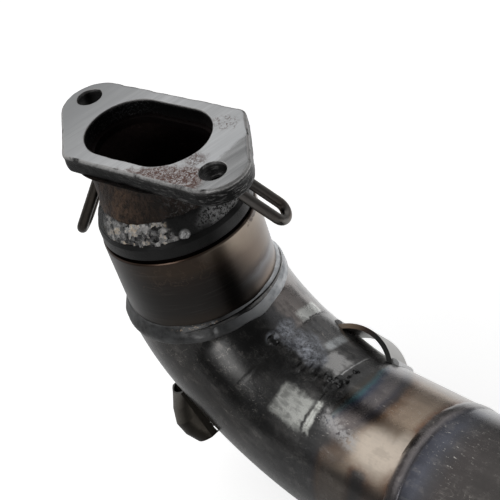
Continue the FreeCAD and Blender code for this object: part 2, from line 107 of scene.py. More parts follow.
# Studio: brightness from straight down (0) to straight up (1), its brighter side, and the floor
STUDIO_BY_HEIGHT = (
    (0.0, 0.45), (0.44, 0.45), (0.45, 0.16), (0.54, 0.20), (0.64, 0.52), (0.74, 0.72), (0.84, 0.74),
    (0.90, 0.60), (1.0, 0.35))
STUDIO_BRIGHT_SIDE = (-0.75, 0.66, 0.0)
FLOOR_HALF = 0.7


def unit(v):
    return v / np.linalg.norm(v)


# Directions of the inlet, of the inside of the bend, and sideways
tilt = math.radians(INLET_TILT)
azimuth = math.radians(INLET_AZIMUTH)
AXIS_IN = np.array([
    math.sin(tilt) * math.cos(azimuth), math.sin(tilt) * math.sin(azimuth), -math.cos(tilt)])
level = np.array([math.cos(math.radians(BEND_AZIMUTH)), math.sin(math.radians(BEND_AZIMUTH)), 0.0])
INWARD = unit(level - AXIS_IN * AXIS_IN.dot(level))
SIDEWAYS = np.cross(AXIS_IN, INWARD)
WIDE_BEND_S = TIGHT_BEND_S + TIGHT_BEND_R * math.radians(TIGHT_BEND_ANGLE)
STRAIGHT_S = WIDE_BEND_S + WIDE_BEND_R * math.radians(WIDE_BEND_ANGLE)


def turn_at(s):
    """Angle that the centre line has turned by, for one station or an array of them."""
    tight = np.clip(s - TIGHT_BEND_S, 0, WIDE_BEND_S - TIGHT_BEND_S) / TIGHT_BEND_R
    wide = np.clip(s - WIDE_BEND_S, 0, STRAIGHT_S - WIDE_BEND_S) / WIDE_BEND_R
    return tight + wide


def direction_at(s):
    t = turn_at(s)
    return np.cos(t)[..., None] * AXIS_IN + np.sin(t)[..., None] * INWARD


def inner_side_at(s):
    t = turn_at(s)
    return np.cos(t)[..., None] * INWARD - np.sin(t)[..., None] * AXIS_IN


def centre_at(s):
    """Points of the centre line at stations."""
    s = np.asarray(s, float)
    straight_in = np.minimum(s, TIGHT_BEND_S)[..., None] * AXIS_IN
    t1 = np.clip(s - TIGHT_BEND_S, 0, WIDE_BEND_S - TIGHT_BEND_S) / TIGHT_BEND_R
    arc1 = TIGHT_BEND_R * (
        np.sin(t1)[..., None] * AXIS_IN + (1 - np.cos(t1))[..., None] * INWARD)
    start = turn_at(WIDE_BEND_S)
    t2 = start + np.clip(s - WIDE_BEND_S, 0, STRAIGHT_S - WIDE_BEND_S) / WIDE_BEND_R
    arc2 = WIDE_BEND_R * (
        (np.sin(t2) - math.sin(start))[..., None] * AXIS_IN
        + (math.cos(start) - np.cos(t2))[..., None] * INWARD)
    tail = np.maximum(s - STRAIGHT_S, 0)[..., None] * direction_at(np.asarray(STRAIGHT_S))
    return straight_in + arc1 + arc2 + tail


def local_axes(s, angle):
    """Outward, onward and sideways directions at a station and an angle in degrees."""
    s = np.asarray(s)
    turn = math.radians(angle)
    out = inner_side_at(s) * math.cos(turn) + SIDEWAYS * math.sin(turn)
    ahead = direction_at(s)
    return out, ahead, np.cross(out, ahead)


def surface_point(s, angle, radius):
    """Points at stations, angles in radians from the inside of the bend, and radii."""
    out = np.cos(angle)[..., None] * inner_side_at(s) + np.sin(angle)[..., None] * SIDEWAYS
    return centre_at(s) + out * np.asarray(radius)[..., None]


def value_noise(points, scale, octaves=3):
    """Smooth noise from about -1 to 1 at an array of points in millimetres."""
    flat = points.reshape(-1, 3) * scale
    values = [noise.fractal(Vector(p), 1.0, 2.0, octaves) for p in flat]
    return np.array(values).reshape(points.shape[:-1])


def add_object(name, data):
    piece = bpy.data.objects.new(name, data)
    bpy.context.scene.collection.objects.link(piece)
    return piece


def make_mesh(name, points, faces, stations=None, angles=None):
    """A smooth piece in metres, with the station and angle of each point kept for its material."""
    mesh = bpy.data.meshes.new(name)
    mesh.from_pydata([tuple(p) for p in np.asarray(points) * MM], [], faces)
    if stations is not None:
        for label, values in (
                ("along", stations), ("cosine", np.cos(angles)), ("sine", np.sin(angles))):
            attribute = mesh.attributes.new(label, "FLOAT", "POINT")
            attribute.data.foreach_set("value", np.asarray(values, np.float32).ravel())
    mesh.update()
    mesh.polygons.foreach_set("use_smooth", [True] * len(mesh.polygons))
    return add_object(name, mesh)


def grid_faces(rows, columns, first=0, closed_rows=False):
    """Quads of a grid whose columns close on themselves."""
    faces = []
    for i in range(rows if closed_rows else rows - 1):
        a = first + i * columns
        b = first + ((i + 1) % rows) * columns
        for j in range(columns):
            k = (j + 1) % columns
            faces.append((a + j, a + k, b + k, b + j))
    return faces


def make_tube(name, s0, s1, outer, inner_r, step, around):
    """A tube along the centre line with its outer radius from a function of station and angle."""
    rows = max(3, int(round((s1 - s0) / step)) + 1)
    s = np.linspace(s0, s1, rows)
    a = np.linspace(-math.pi, math.pi, around, endpoint=False)
    S, A = np.meshgrid(s, a, indexing="ij")
    inner_rows = max(3, rows // 5)
    Si, Ai = np.meshgrid(np.linspace(s1, s0, inner_rows), a, indexing="ij")
    stations = np.concatenate([S, Si])
    angles = np.concatenate([A, Ai])
    radii = np.concatenate([outer(S, A), np.full(Si.shape, inner_r)])
    points = surface_point(stations, angles, radii).reshape(-1, 3)
    faces = grid_faces(rows + inner_rows, around, 0, closed_rows=True)
    tube = make_mesh(name, points, [f[::-1] for f in faces], stations.ravel(), angles.ravel())
    ends = (0, rows - 1, rows, rows + inner_rows - 1)
    pairs = np.array([edge.vertices[:] for edge in tube.data.edges]) // around
    sharp = (pairs[:, 0] == pairs[:, 1]) & np.isin(pairs[:, 0], ends)
    mark = tube.data.attributes.new("sharp_edge", "BOOLEAN", "EDGE")
    mark.data.foreach_set("value", sharp)
    return tube


class Nodes:
    """Builds a node tree step by step; every method gives back an output."""

    def __init__(self, tree):
        self.tree = tree

    def node(self, kind, **settings):
        made = self.tree.nodes.new(kind)
        for key, value in settings.items():
            setattr(made, key, value)
        return made

    def put(self, socket, value):
        """Gives a socket a number, a colour or another node's output."""
        if isinstance(value, bpy.types.NodeSocket):
            self.tree.links.new(value, socket)
        elif value is not None:
            if isinstance(value, tuple) and len(value) == 3 and socket.type == "RGBA":
                value = value + (1.0,)
            socket.default_value = value

    def math(self, operation, *values):
        made = self.node("ShaderNodeMath", operation=operation)
        for socket, value in zip(made.inputs, values):
            self.put(socket, value)
        return made.outputs[0]

    def add(self, a, b):
        return self.math("ADD", a, b)

    def sub(self, a, b):
        return self.math("SUBTRACT", a, b)

    def abs(self, a):
        return self.math("ABSOLUTE", a)

    def times(self, *values):
        out = values[0]
        for value in values[1:]:
            out = self.math("MULTIPLY", out, value)
        return out

    def most(self, *values):
        out = values[0]
        for value in values[1:]:
            out = self.math("MAXIMUM", out, value)
        return out

    def vector(self, operation, a, b=None, scale=None):
        made = self.node("ShaderNodeVectorMath", operation=operation)
        self.put(made.inputs[0], a)
        self.put(made.inputs[1], b)
        if scale is not None:
            self.put(made.inputs["Scale"], scale)
        return made.outputs["Value" if operation == "DOT_PRODUCT" else "Vector"]

    def split(self, vector):
        made = self.node("ShaderNodeSeparateXYZ")
        self.put(made.inputs[0], vector)
        return made.outputs[0], made.outputs[1], made.outputs[2]

    def join(self, x, y, z=0.0):
        made = self.node("ShaderNodeCombineXYZ")
        for socket, value in zip(made.inputs, (x, y, z)):
            self.put(socket, value)
        return made.outputs[0]

    def mix(self, factor, a, b):
        """Between two colours."""
        made = self.node("ShaderNodeMix", data_type="RGBA")
        for index, value in ((0, factor), (6, a), (7, b)):
            self.put(made.inputs[index], value)
        return made.outputs[2]

    def blend(self, factor, a, b):
        """Between two numbers."""
        made = self.node("ShaderNodeMix", data_type="FLOAT")
        for index, value in ((0, factor), (2, a), (3, b)):
            self.put(made.inputs[index], value)
        return made.outputs[0]

    def ramp(self, value, stops):
        """Colours by value; the stops are pairs of a place and a colour."""
        made = self.node("ShaderNodeValToRGB")
        elements = made.color_ramp.elements
        while len(elements) < len(stops):
            elements.new(0.5)
        for element, (at, colour) in zip(elements, stops):
            element.position = at
            element.color = colour + (1.0,)
        self.put(made.inputs[0], value)
        return made.outputs[0]

    def step(self, value, low, high, kind="SMOOTHSTEP"):
        """0 below low, 1 above high, smooth between; low above high turns it round."""
        made = self.node("ShaderNodeMapRange", interpolation_type=kind)
        flip = low > high
        self.put(made.inputs["Value"], value)
        self.put(made.inputs["From Min"], min(low, high))
        self.put(made.inputs["From Max"], max(low, high))
        self.put(made.inputs["To Min"], 1.0 if flip else 0.0)
        self.put(made.inputs["To Max"], 0.0 if flip else 1.0)
        return made.outputs[0]


class Shade(Nodes):
    """One material, whose colour is laid on coat by coat."""

    def __init__(self, name, metallic=1.0, rough=0.4, coat=0.0):
        self.material = bpy.data.materials.new(name)
        self.material.use_nodes = True
        super().__init__(self.material.node_tree)
        self.bsdf = self.tree.nodes["Principled BSDF"]
        self.bsdf.inputs["Metallic"].default_value = metallic
        self.bsdf.inputs["Roughness"].default_value = rough
        self.bsdf.inputs["Coat Weight"].default_value = coat
        self.bsdf.inputs["Coat Roughness"].default_value = COAT_ROUGHNESS
        position = self.node("ShaderNodeTexCoord").outputs["Object"]
        self.place = self.vector("SCALE", position, scale=1.0 / MM)
        self.colour = None

    def paint(self, tone, *strengths):
        """Lays a tone over the colour so far, as strong as the product of masks and numbers."""
        self.colour = self.mix(self.times(*strengths), self.colour, tone)

    def noise(self, scale, detail=3.0, rough=0.55, distort=0.0, at=None):
        made = self.node("ShaderNodeTexNoise")
        self.put(made.inputs["Vector"], at or self.place)
        self.put(made.inputs["Scale"], scale)
        self.put(made.inputs["Detail"], detail)
        self.put(made.inputs["Roughness"], rough)
        self.put(made.inputs["Distortion"], distort)
        return made.outputs["Fac"]

    def attribute(self, name):
        return self.node("ShaderNodeAttribute", attribute_name=name).outputs["Fac"]

    def station(self):
        """Station along the centre line in millimetres and angle from the bend's inside in degrees."""
        turn = self.math("ARCTAN2", self.attribute("sine"), self.attribute("cosine"))
        return self.attribute("along"), self.times(turn, 180.0 / math.pi)

    def lengthwise(self, s, stretch, spread, detail):
        """Noise drawn out along or round the pipe, with no seam at its back."""
        at = self.join(
            self.times(s, stretch), self.times(self.attribute("cosine"), spread),
            self.times(self.attribute("sine"), spread))
        return self.noise(1.0, detail, 0.7, at=at)

    def specks(self, tone, scale, low, high, strength):
        """Paints fine specks where a noise is high."""
        self.paint(tone, self.step(self.noise(scale, 4.0, 0.8), low, high), strength)

    def normal(self):
        return self.node("ShaderNodeNewGeometry").outputs["Normal"]

    def warp(self, value, source, amount):
        """The value pushed to and fro by a noise."""
        return self.math("MULTIPLY_ADD", self.sub(source, 0.5), amount, value)

    def box(self, u, v, u0, u1, v0, v1, soft):
        """1 inside a box in two coordinates, with soft sides; v is softer, being in degrees."""
        soft_v = soft * 2.0
        return self.times(
            self.step(u, u0 - soft, u0 + soft), self.step(u, u1 + soft, u1 - soft),
            self.step(v, v0 - soft_v, v0 + soft_v), self.step(v, v1 + soft_v, v1 - soft_v))

    def line(self, u, at, half):
        """1 on a thin line at a value, 0 away from it."""
        return self.step(self.abs(self.sub(u, at)), half * 1.6, half * 0.4)

    def veins(self, noise, wide, thin):
        """Thin crooked lines where a noise passes its middle."""
        return self.step(self.abs(self.sub(noise, 0.5)), wide, thin)

    def patch(self, u, v, u0, v0, half_u, half_v, edge=0.35, ragged=0.0, source=None):
        """A soft oval patch in two coordinates, with an edge that a noise makes ragged."""
        du = self.math("DIVIDE", self.sub(u, u0), half_u)
        dv = self.math("DIVIDE", self.sub(v, v0), half_v)
        far = self.math("SQRT", self.add(self.times(du, du), self.times(dv, dv)))
        if ragged:
            far = self.add(far, self.times(self.sub(source, 0.5), ragged))
        return self.step(far, 1.0 + edge, 1.0 - edge)

    def patches(self, u, v, rows, source=None):
        """The most of several patches: centre, half sizes, softness and raggedness of each."""
        return self.most(*[self.patch(u, v, *row, source) for row in rows])

    def bands(self, value, rows):
        """Colours from stations: each row is a station and its red, green and blue."""
        first = rows[0][0]
        span = rows[-1][0] - first
        stops = [((row[0] - first) / span, rgb(*row[1:])) for row in rows]
        return self.ramp(self.math("DIVIDE", self.sub(value, first), span), stops)

    def finish(self, rough, height, strength, distance, metallic=None):
        """Links the colour, the roughness and a bump with a reach in millimetres."""
        bump = self.node("ShaderNodeBump")
        self.put(bump.inputs["Strength"], strength)
        self.put(bump.inputs["Distance"], distance * MM)
        self.put(bump.inputs["Height"], height)
        self.put(self.bsdf.inputs["Base Color"], self.colour)
        self.put(self.bsdf.inputs["Roughness"], rough)
        self.put(self.bsdf.inputs["Metallic"], metallic)
        self.put(self.bsdf.inputs["Normal"], bump.outputs["Normal"])
        return self.material


def rgb(r, g, b):
    """A colour from sRGB values of 0 to 255."""
    shares = (r / 255.0, g / 255.0, b / 255.0)
    return tuple(x / 12.92 if x <= 0.04045 else ((x + 0.055) / 1.055) ** 2.4 for x in shares)


def grey(level, warm=0.0):
    """A grey from an sRGB level of 0 to 255, a little warm or cool."""
    return rgb(level + warm, level, level - warm)


def flange_material():
    """Ground top face with rust specks, and black worn sides."""
    m = Shade("flange_steel")
    x, y, z = m.split(m.place)
    on_top = m.step(m.split(m.normal())[2], 0.955, 0.99)

    # Fine grinding lines at a slant to the long sides
    along = m.add(m.times(x, 0.32), m.times(y, 0.95))
    across = m.sub(m.times(x, 0.95), m.times(y, 0.32))
    grain = m.noise(1, 4, 0.7, at=m.join(m.times(along, 0.05), m.times(across, 2.2), 0))
    coarse = m.noise(1, 3, 0.6, at=m.join(m.times(along, 0.03), m.times(across, 0.35), 3))
    ragged = m.noise(0.35, 5, 0.7)
    fine = m.noise(1.3, 6, 0.75)
    level = m.add(m.times(grain, 0.45), m.times(coarse, 0.55))
    m.colour = m.ramp(level, [(0.3, grey(164, -1)), (0.5, grey(180, -1)), (0.68, grey(198, -1))])
    m.paint(grey(132, -1), m.step(x, 2, -40), 0.85)
    m.paint(grey(196, -2), m.step(x, 12, 40), 0.6)

    # The darker ground corner beyond a slanting line by the front hole
    line = m.warp(m.add(x, m.times(y, -0.12)), ragged, 2.5)
    wedge = m.times(m.step(line, 30.4, 32.2), m.step(y, 13, 7))
    m.paint(m.mix(m.step(coarse, 0.3, 0.7), grey(92), grey(136)), wedge, 0.8)
    dents = m.times(m.step(m.noise(0.8, 5, 0.8), 0.66, 0.7), m.step(ragged, 0.44, 0.6))
    m.paint(grey(96), dents, 0.45)

    # Rust: a net of specks along the front edge and a few thin veins
    net = m.step(m.noise(0.85, 5, 0.8, 1.4), 0.45, 0.52)
    reach = m.add(-18.8, m.times(m.step(x, -4, 26), 9))
    inside = m.step(m.warp(m.sub(reach, y), ragged, 9), -1, 2.2)
    front = m.times(inside, m.step(x, -7, 6), m.step(m.warp(x, ragged, 4), 33.5, 30.5))
    spot = m.times(m.patch(x, y, 24, -6.5, 3.4, 3, 0.5, 1.6, ragged), 0.7)
    vein = m.times(
        m.veins(m.noise(0.45, 4, 0.6), 0.022, 0.006), m.patch(x, y, 22.5, 11, 4.5, 3.2, 0.3, 0.8, ragged))
    rust = m.most(m.times(m.most(front, spot), net), vein)
    m.paint(rgb(132, 106, 96), front, 0.28)
    m.paint(m.mix(fine, rgb(56, 30, 22), rgb(124, 80, 64)), rust, 0.9)

    # Sides: near black scale with scratches, lighter where the rims are worn
    scratch = m.noise(1, 5, 0.75, at=m.join(m.times(x, 0.35), m.times(y, 0.35), m.times(z, 1.6)))
    worn = m.times(m.step(scratch, 0.5, 0.66), m.step(x, -16, 30))
    top = m.colour
    m.colour = m.mix(m.noise(0.18, 5), grey(18), grey(44))
    m.paint(grey(128, 1), worn, 0.75)
    band = m.times(m.step(z, -2.6, -1), m.step(ragged, 0.3, 0.6))
    m.paint(grey(96, 1), band, 0.3)
    rim = m.times(m.step(m.warp(z, fine, 1), -1.25, -0.55), m.step(m.noise(0.3, 4), 0.3, 0.5))
    m.paint(m.mix(fine, grey(120, 1), grey(215, 1)), rim, 0.8)

    # Inside the port and the holes
    in_port = m.times(m.step(m.abs(x), 24.2, 23.4), m.step(m.abs(y), 15.4, 14.8))
    lip = m.times(m.step(m.warp(z, fine, 1.2), -1.1, -0.4), 0.9)
    soot = m.mix(m.times(m.step(fine, 0.5, 0.64), m.step(x, 0, -18)), grey(56), grey(130, -2))
    m.paint(m.mix(lip, soot, grey(150, 1)), in_port)
    m.paint(top, on_top)
    rough = m.blend(on_top, 0.42, m.blend(rust, m.blend(wedge, 0.4, 0.22), 0.85))
    metallic = m.blend(m.times(on_top, rust), 1, 0.2)
    height = m.add(m.times(grain, m.blend(on_top, 0.1, 0.2)), m.times(fine, m.blend(on_top, 1, 0.05)))
    return m.finish(rough, height, 0.5, 0.25, metallic)


def neck_material():
    """Dark brown-black scale with a warm cast in the middle and light specks."""
    m = Shade("neck_steel", 0.85, 0.5)
    x, y, z = m.split(m.place)
    broad = m.noise(0.1, 5, 0.65)
    fine = m.noise(0.8, 6, 0.75)
    middle = m.times(m.step(x, -38, -22), m.step(x, 18, -12))
    m.colour = m.mix(m.times(m.step(broad, 0.34, 0.6), middle), rgb(50, 42, 38), rgb(106, 84, 68))
    streaks = m.noise(1, 4, 0.7, at=m.join(m.times(x, 0.7), m.times(y, 0.7), m.times(z, 0.12)))
    m.paint(grey(26, 1), m.step(streaks, 0.42, 0.62), 0.75)
    m.paint(grey(24, 1), m.step(fine, 0.46, 0.62), 0.7)
    high = m.step(z, -9.5, -6.5)
    m.paint(m.mix(fine, grey(22, 1), grey(62, 1)), high, 0.65)
    m.specks(grey(128, 3), 1.5, 0.66, 0.72, 0.6)
    right_side = m.times(m.step(x, 12, 20), m.step(y, 4, -6))
    m.paint(grey(112, 1), right_side, m.step(fine, 0.5, 0.58), 0.6)

    # The inside of the neck is sooty
    along_axis = m.vector("DOT_PRODUCT", m.place, tuple(AXIS_IN))
    on_axis = m.vector("SCALE", tuple(AXIS_IN), scale=along_axis)
    outward = m.vector("SUBTRACT", m.place, on_axis)
    inside = m.step(m.vector("DOT_PRODUCT", m.normal(), outward), 0.5, -0.5)
    m.paint(m.mix(broad, rgb(40, 30, 29), rgb(66, 54, 52)), inside)
    rough = m.blend(broad, 0.36, 0.56)
    return m.finish(rough, m.add(fine, m.times(broad, 1.5)), 0.8, 0.5)


def inner_material():
    """Soot inside the neck, with a dull sheen."""
    m = Shade("inner_steel", 0.9, 0.4)
    broad = m.noise(0.08, 4, 0.6)
    m.colour = m.mix(broad, rgb(40, 32, 31), rgb(66, 58, 58))
    return m.finish(m.blend(broad, 0.3, 0.5), m.noise(0.6, 5), 0.4, 0.3)


# Features of the bend: first and last station, first and last angle, softness, colour, strength
BEND_FEATURES = (
    (58, 112, 62, 125, 6, (44, 41, 38), 0.8),
    (64, 104, 22, 60, 5, (34, 33, 32), 0.75),
    (78, 93, 6, 36, 3, (18, 18, 18), 0.85),
    (68, 100, -50, -9, 3.5, (136, 129, 126), 0.95),
    (83, 97, -9, 3, 2, (92, 92, 94), 0.9),
    (101, 116, -34, -17, 2.5, (88, 88, 89), 0.9),
    (101, 136, -70, -32, 2.5, (112, 112, 112), 0.9),
    (120, 134, -33, -16, 1.6, (58, 57, 57), 0.95),
    (121.5, 133, -18, -1, 1.2, (160, 159, 158), 0.85),
    (136, 145, -36, 18, 1.5, (58, 58, 58), 0.9),
    (104, 124, 12, 22, 2, (54, 54, 54), 0.7),
    (139, 151, 28, 54, 3, (66, 66, 68), 0.9),
    (147, 163, 38, 60, 3.5, (100, 88, 80), 0.8))

# Bright patches with harder edges; the last number says how ragged they are
BRIGHT_FEATURES = (
    # The first row, just before the upper seam, is a painted reflection; the others are bare metal
    (93.5, 99.6, -44, -19, 1.1, (214, 216, 212), 0.85, 0.3),
    (115.2, 119.6, -60, -14, 1.2, (180, 184, 186), 0.8, 0.5),
    (116, 133.4, 22, 44, 1.3, (188, 189, 184), 0.92, 0.6),
    (134.8, 137.8, 20, 42, 0.9, (212, 213, 207), 0.9, 0.7))


# Heat tints along the pipe: station and colour
HEAT_TINTS = (
    (138, 50, 50, 50), (144.5, 54, 52, 50), (146.6, 60, 56, 50), (148.4, 50, 86, 94), (150, 48, 58, 78),
    (152, 84, 80, 84), (155.5, 98, 92, 92), (157.6, 56, 53, 60), (159.4, 54, 44, 41), (161.2, 104, 80, 60),
    (164.5, 138, 120, 103), (171, 142, 125, 108), (173.2, 104, 77, 58), (174.6, 52, 43, 41),
    (175.6, 44, 38, 38), (177.2, 108, 103, 104), (179, 54, 56, 67), (182.5, 76, 78, 88),
    (186.5, 70, 68, 70), (190, 66, 61, 60), (200, 64, 60, 58))

# Patches on the bend: station, angle, half length, half angle, softness, raggedness
# The first table is a painted highlight: a warm near-white patch on the bronze tint band
WARM_HIGHLIGHT = ((165.5, 30, 9, 15, 0.45, 0.7), (172, 24, 4, 13, 0.4, 0.5))
OXIDE = (
    (96.5, -5, 4.5, 7.5, 0.3, 1.3), (103, -3, 5, 9, 0.3, 1.3), (111, -7, 7.5, 10, 0.3, 1.2),
    (118.5, -3, 5.5, 8, 0.3, 1.3), (96, 7.5, 3.4, 5, 0.3, 0.9))
OXIDE_CORE = (
    (97.5, -3, 2.6, 4, 0.5, 1.6), (111, -2, 4.5, 4.5, 0.5, 1.6), (117, 1, 3, 4, 0.5, 1.6))
CHAR = (
    (98, 16, 2.4, 9, 0.5, 2.2), (105, 7.5, 7, 3.8, 0.5, 2), (115, 13, 8.5, 5.5, 0.5, 2),
    (126, 8, 7.5, 6, 0.5, 2), (138.5, 7, 5, 7, 0.5, 1.8))
SCRATCHED = (
    (110, -23, 7, 9, 0.6, 0), (110, 46, 11, 14, 0.6, 0), (150, 28, 9, 10, 0.6, 0),
    (160, 0, 6, 10, 0.6, 0), (137, 36, 9, 14, 0.6, 0))


def pipe_material():
    """Heat scale, oxide, bare patches, tint bands, and painted highlights and reflections along the bend and
    the outlet.
    """
    m = Shade("bend_steel", coat=0.65)
    s, a = m.station()
    rag = m.noise(0.22, 5, 0.65)
    other = m.noise(0.3, 5, 0.65, at=m.vector("ADD", m.place, (31, 7, 19)))
    flake = m.noise(0.62, 6, 0.72)
    grit = m.noise(1.9, 5, 0.8)
    slow = m.noise(0.05, 3, 0.5)
    sw = m.warp(m.warp(s, rag, 7), flake, 2)
    aw = m.warp(m.warp(a, other, 16), flake, 5)
    hard_s = m.warp(m.warp(s, flake, 4), rag, 3)
    hard_a = m.warp(m.warp(a, flake, 14), rag, 9)

    m.colour = m.mix(m.step(slow, 0.38, 0.62), grey(54), grey(70, 1))
    for s0, s1, a0, a1, soft, shade, strength in BEND_FEATURES:
        zone = m.box(sw, aw, s0, s1, a0, a1, soft)
        m.paint(rgb(*shade), zone, strength)

    # Reddish specks on the brown-grey zone under the weld
    red = m.times(m.box(sw, aw, 70, 92, -50, -12, 3), m.step(grit, 0.58, 0.68))
    m.paint(rgb(96, 62, 52), red, 0.6)

    # Tint bands square to the pipe, bowed toward the weld away from the middle
    off = m.add(a, 2)
    square = m.math("MINIMUM", m.times(off, off), 2500)
    bow = m.times(square, 0.0055, m.step(s, 173, 160))
    lean = m.warp(m.add(s, bow), rag, 2.4)
    tint = m.bands(lean, HEAT_TINTS)
    tinted = m.step(m.warp(s, rag, 3), 143, 145.5)
    m.paint(tint, tinted)
    # Painted reflection: a lighter grey band along the side of the bend at angles of -40 to -95 degrees
    outer = m.times(m.step(a, -30, -40), m.step(a, -125, -95), m.step(s, 60, 66))
    m.paint(grey(128, 1), outer, 0.45)
    round_back = m.most(m.step(m.warp(a, rag, 10), 44, 58), m.step(a, -95, -125))
    far = m.times(m.step(s, 140, 150), round_back)
    m.paint(grey(52), far, 0.75)
    # Painted highlight: warm near-white over the bronze tint band, smoother there too
    sheen = m.patches(s, a, WARM_HIGHLIGHT, rag)
    sheen = m.times(sheen, m.step(m.warp(s, flake, 1.5), 175.2, 173))
    m.paint(rgb(208, 195, 180), sheen, 0.85)
    low_brown = m.patch(s, a, 151, 43, 6, 9, 0.4, 0.9, other)
    m.paint(rgb(84, 72, 64), low_brown, 0.7)
    low_dark = m.patch(s, a, 142.5, 38, 5.5, 12, 0.3, 0.9, rag)
    m.paint(grey(46), low_dark, 0.85)

    # Dusty scratched streak from the bare patch to the warm highlight
    streak_a = m.sub(hard_a, m.times(m.sub(s, 142), 0.45))
    streak = m.box(hard_s, streak_a, 141, 158, 21, 31, 2)
    streak = m.times(streak, m.step(flake, 0.36, 0.54))
    m.paint(rgb(176, 174, 173), streak, 0.75)
    veil = m.patch(s, a, 151, 20, 6, 7, 0.6, 1, other)
    m.paint(rgb(128, 118, 114), veil, 0.45)

    # Bright patches with brushed edges: bare metal, and a painted reflection just before the upper seam
    brushed = m.noise(1, 4, 0.7, at=m.join(m.times(s, 0.25), m.times(a, 0.5), 0))
    for s0, s1, a0, a1, soft, shade, strength, torn in BRIGHT_FEATURES:
        zone = m.box(m.blend(torn, s, hard_s), m.blend(torn, a, hard_a), s0, s1, a0, a1, soft)
        zone = m.times(zone, m.step(brushed, 0.24, 0.38), strength)
        m.paint(rgb(*shade), zone)

    # Blue-grey oxide down the inside of the bend, flaking, with charred edges
    oxide = m.patches(s, a, OXIDE, rag)
    tone = m.ramp(m.add(m.times(flake, 0.6), m.times(grit, 0.4)), [
        (0.34, rgb(92, 94, 99)), (0.5, rgb(152, 155, 162)), (0.62, rgb(186, 190, 199))])
    m.paint(tone, oxide, 0.88)
    core = m.patches(s, a, OXIDE_CORE, other)
    m.paint(rgb(204, 209, 220), core, m.step(flake, 0.4, 0.58), 0.65)
    splits = m.times(m.veins(m.noise(0.34, 4, 0.65, 0.8), 0.022, 0.006), oxide)
    m.paint(grey(44), splits, 0.7)
    char = m.times(m.patches(s, a, CHAR, other), m.step(flake, 0.62, 0.46))
    m.paint(m.mix(m.step(grit, 0.44, 0.62), grey(12), grey(66, 1)), char, 0.85)
    worm = m.patch(hard_s, hard_a, 126.5, -24, 5, 1.6, 0.4, 0.8, rag)
    m.paint(grey(14), worm, 0.85)

    # Seams: a dark groove on the upper one, a painted highlight as a light line on the lower one, a dark one
    # past the band
    groove = m.times(m.line(hard_s, UPPER_SEAM_S, 0.5), m.step(a, -14, -20), m.step(a, -56, -46))
    m.paint(grey(24), groove, 0.85)
    # Painted highlight along the ridge of the lower seam
    seam_highlight = m.line(m.warp(s, rag, 1.6), LOWER_SEAM_S - 1.2, 0.42)
    seam_highlight = m.times(seam_highlight, m.step(a, 2, -3), m.step(a, -34, -26))
    m.paint(grey(190), seam_highlight, 0.7)
    crack = m.times(m.line(m.sub(hard_s, m.times(a, -0.06)), 135.9, 0.5), m.box(s, a, 130, 138, 27, 42, 1))
    m.paint(grey(40), crack, 0.85)

    # Mottling and long streaks, so that no part of the scale is even
    mottle = m.step(m.noise(0.22, 6, 0.65), 0.34, 0.66)
    drawn = m.step(m.lengthwise(s, 0.06, 9, 5), 0.36, 0.64)
    shade = m.blend(0.5, mottle, drawn)
    even = m.blend(tinted, 1, 0.35)
    m.paint(grey(16, 1), m.step(shade, 0.6, 0.1), 0.5, even)
    m.paint(rgb(150, 145, 141), m.step(shade, 0.6, 1.0), 0.16)
    hair = m.veins(m.noise(0.2, 2, 0.5, 1.5), 0.0045, 0.0015)
    hair = m.times(hair, m.step(m.noise(0.11, 3), 0.5, 0.62))
    m.paint(rgb(178, 172, 164), hair, 0.5)

    # Scratches, nicks and pits
    nick = m.noise(1, 5, 0.85, at=m.join(m.times(s, 0.4), m.times(a, 0.75), 0))
    outlet_field = m.times(m.patch(s, a, 186, 0, 10, 26, 0.6), 1.6)
    fields = m.most(m.patches(s, a, SCRATCHED), outlet_field, 0.12)
    nicks = m.times(m.step(nick, 0.605, 0.650), fields)
    m.paint(rgb(205, 201, 194), nicks, 0.8)
    pits = m.times(m.step(grit, 0.69, 0.75), m.step(rag, 0.42, 0.6))
    m.paint(grey(18), pits, 0.7)
    rough = m.blend(rag, 0.2, 0.34)
    rough = m.blend(m.times(oxide, 0.9), rough, 0.55)
    rough = m.blend(char, rough, 0.4)
    rough = m.blend(sheen, rough, 0.32)
    crust = m.most(oxide, char)
    height = m.add(m.times(flake, m.blend(crust, 0.1, 1)), m.times(grit, m.blend(crust, 0.05, 0.35)))
    height = m.sub(height, m.times(groove, 0.8))
    return m.finish(rough, height, 0.6, 0.45)


# Tints down the two sides of the sleeve: station and colour
SLEEVE_LEFT = (
    (30, 58, 47, 39), (37.04, 60, 49, 40), (40.24, 44, 37, 33), (46, 40, 37, 35), (52.4, 44, 41, 39),
    (56.88, 56, 49, 43), (62, 38, 34, 32))
SLEEVE_RIGHT = (
    (30, 150, 138, 124), (40.88, 108, 95, 84), (46, 104, 91, 80), (48.56, 78, 69, 65),
    (50.48, 108, 107, 109), (53.04, 98, 91, 88), (55.6, 128, 113, 101), (62, 70, 62, 58))


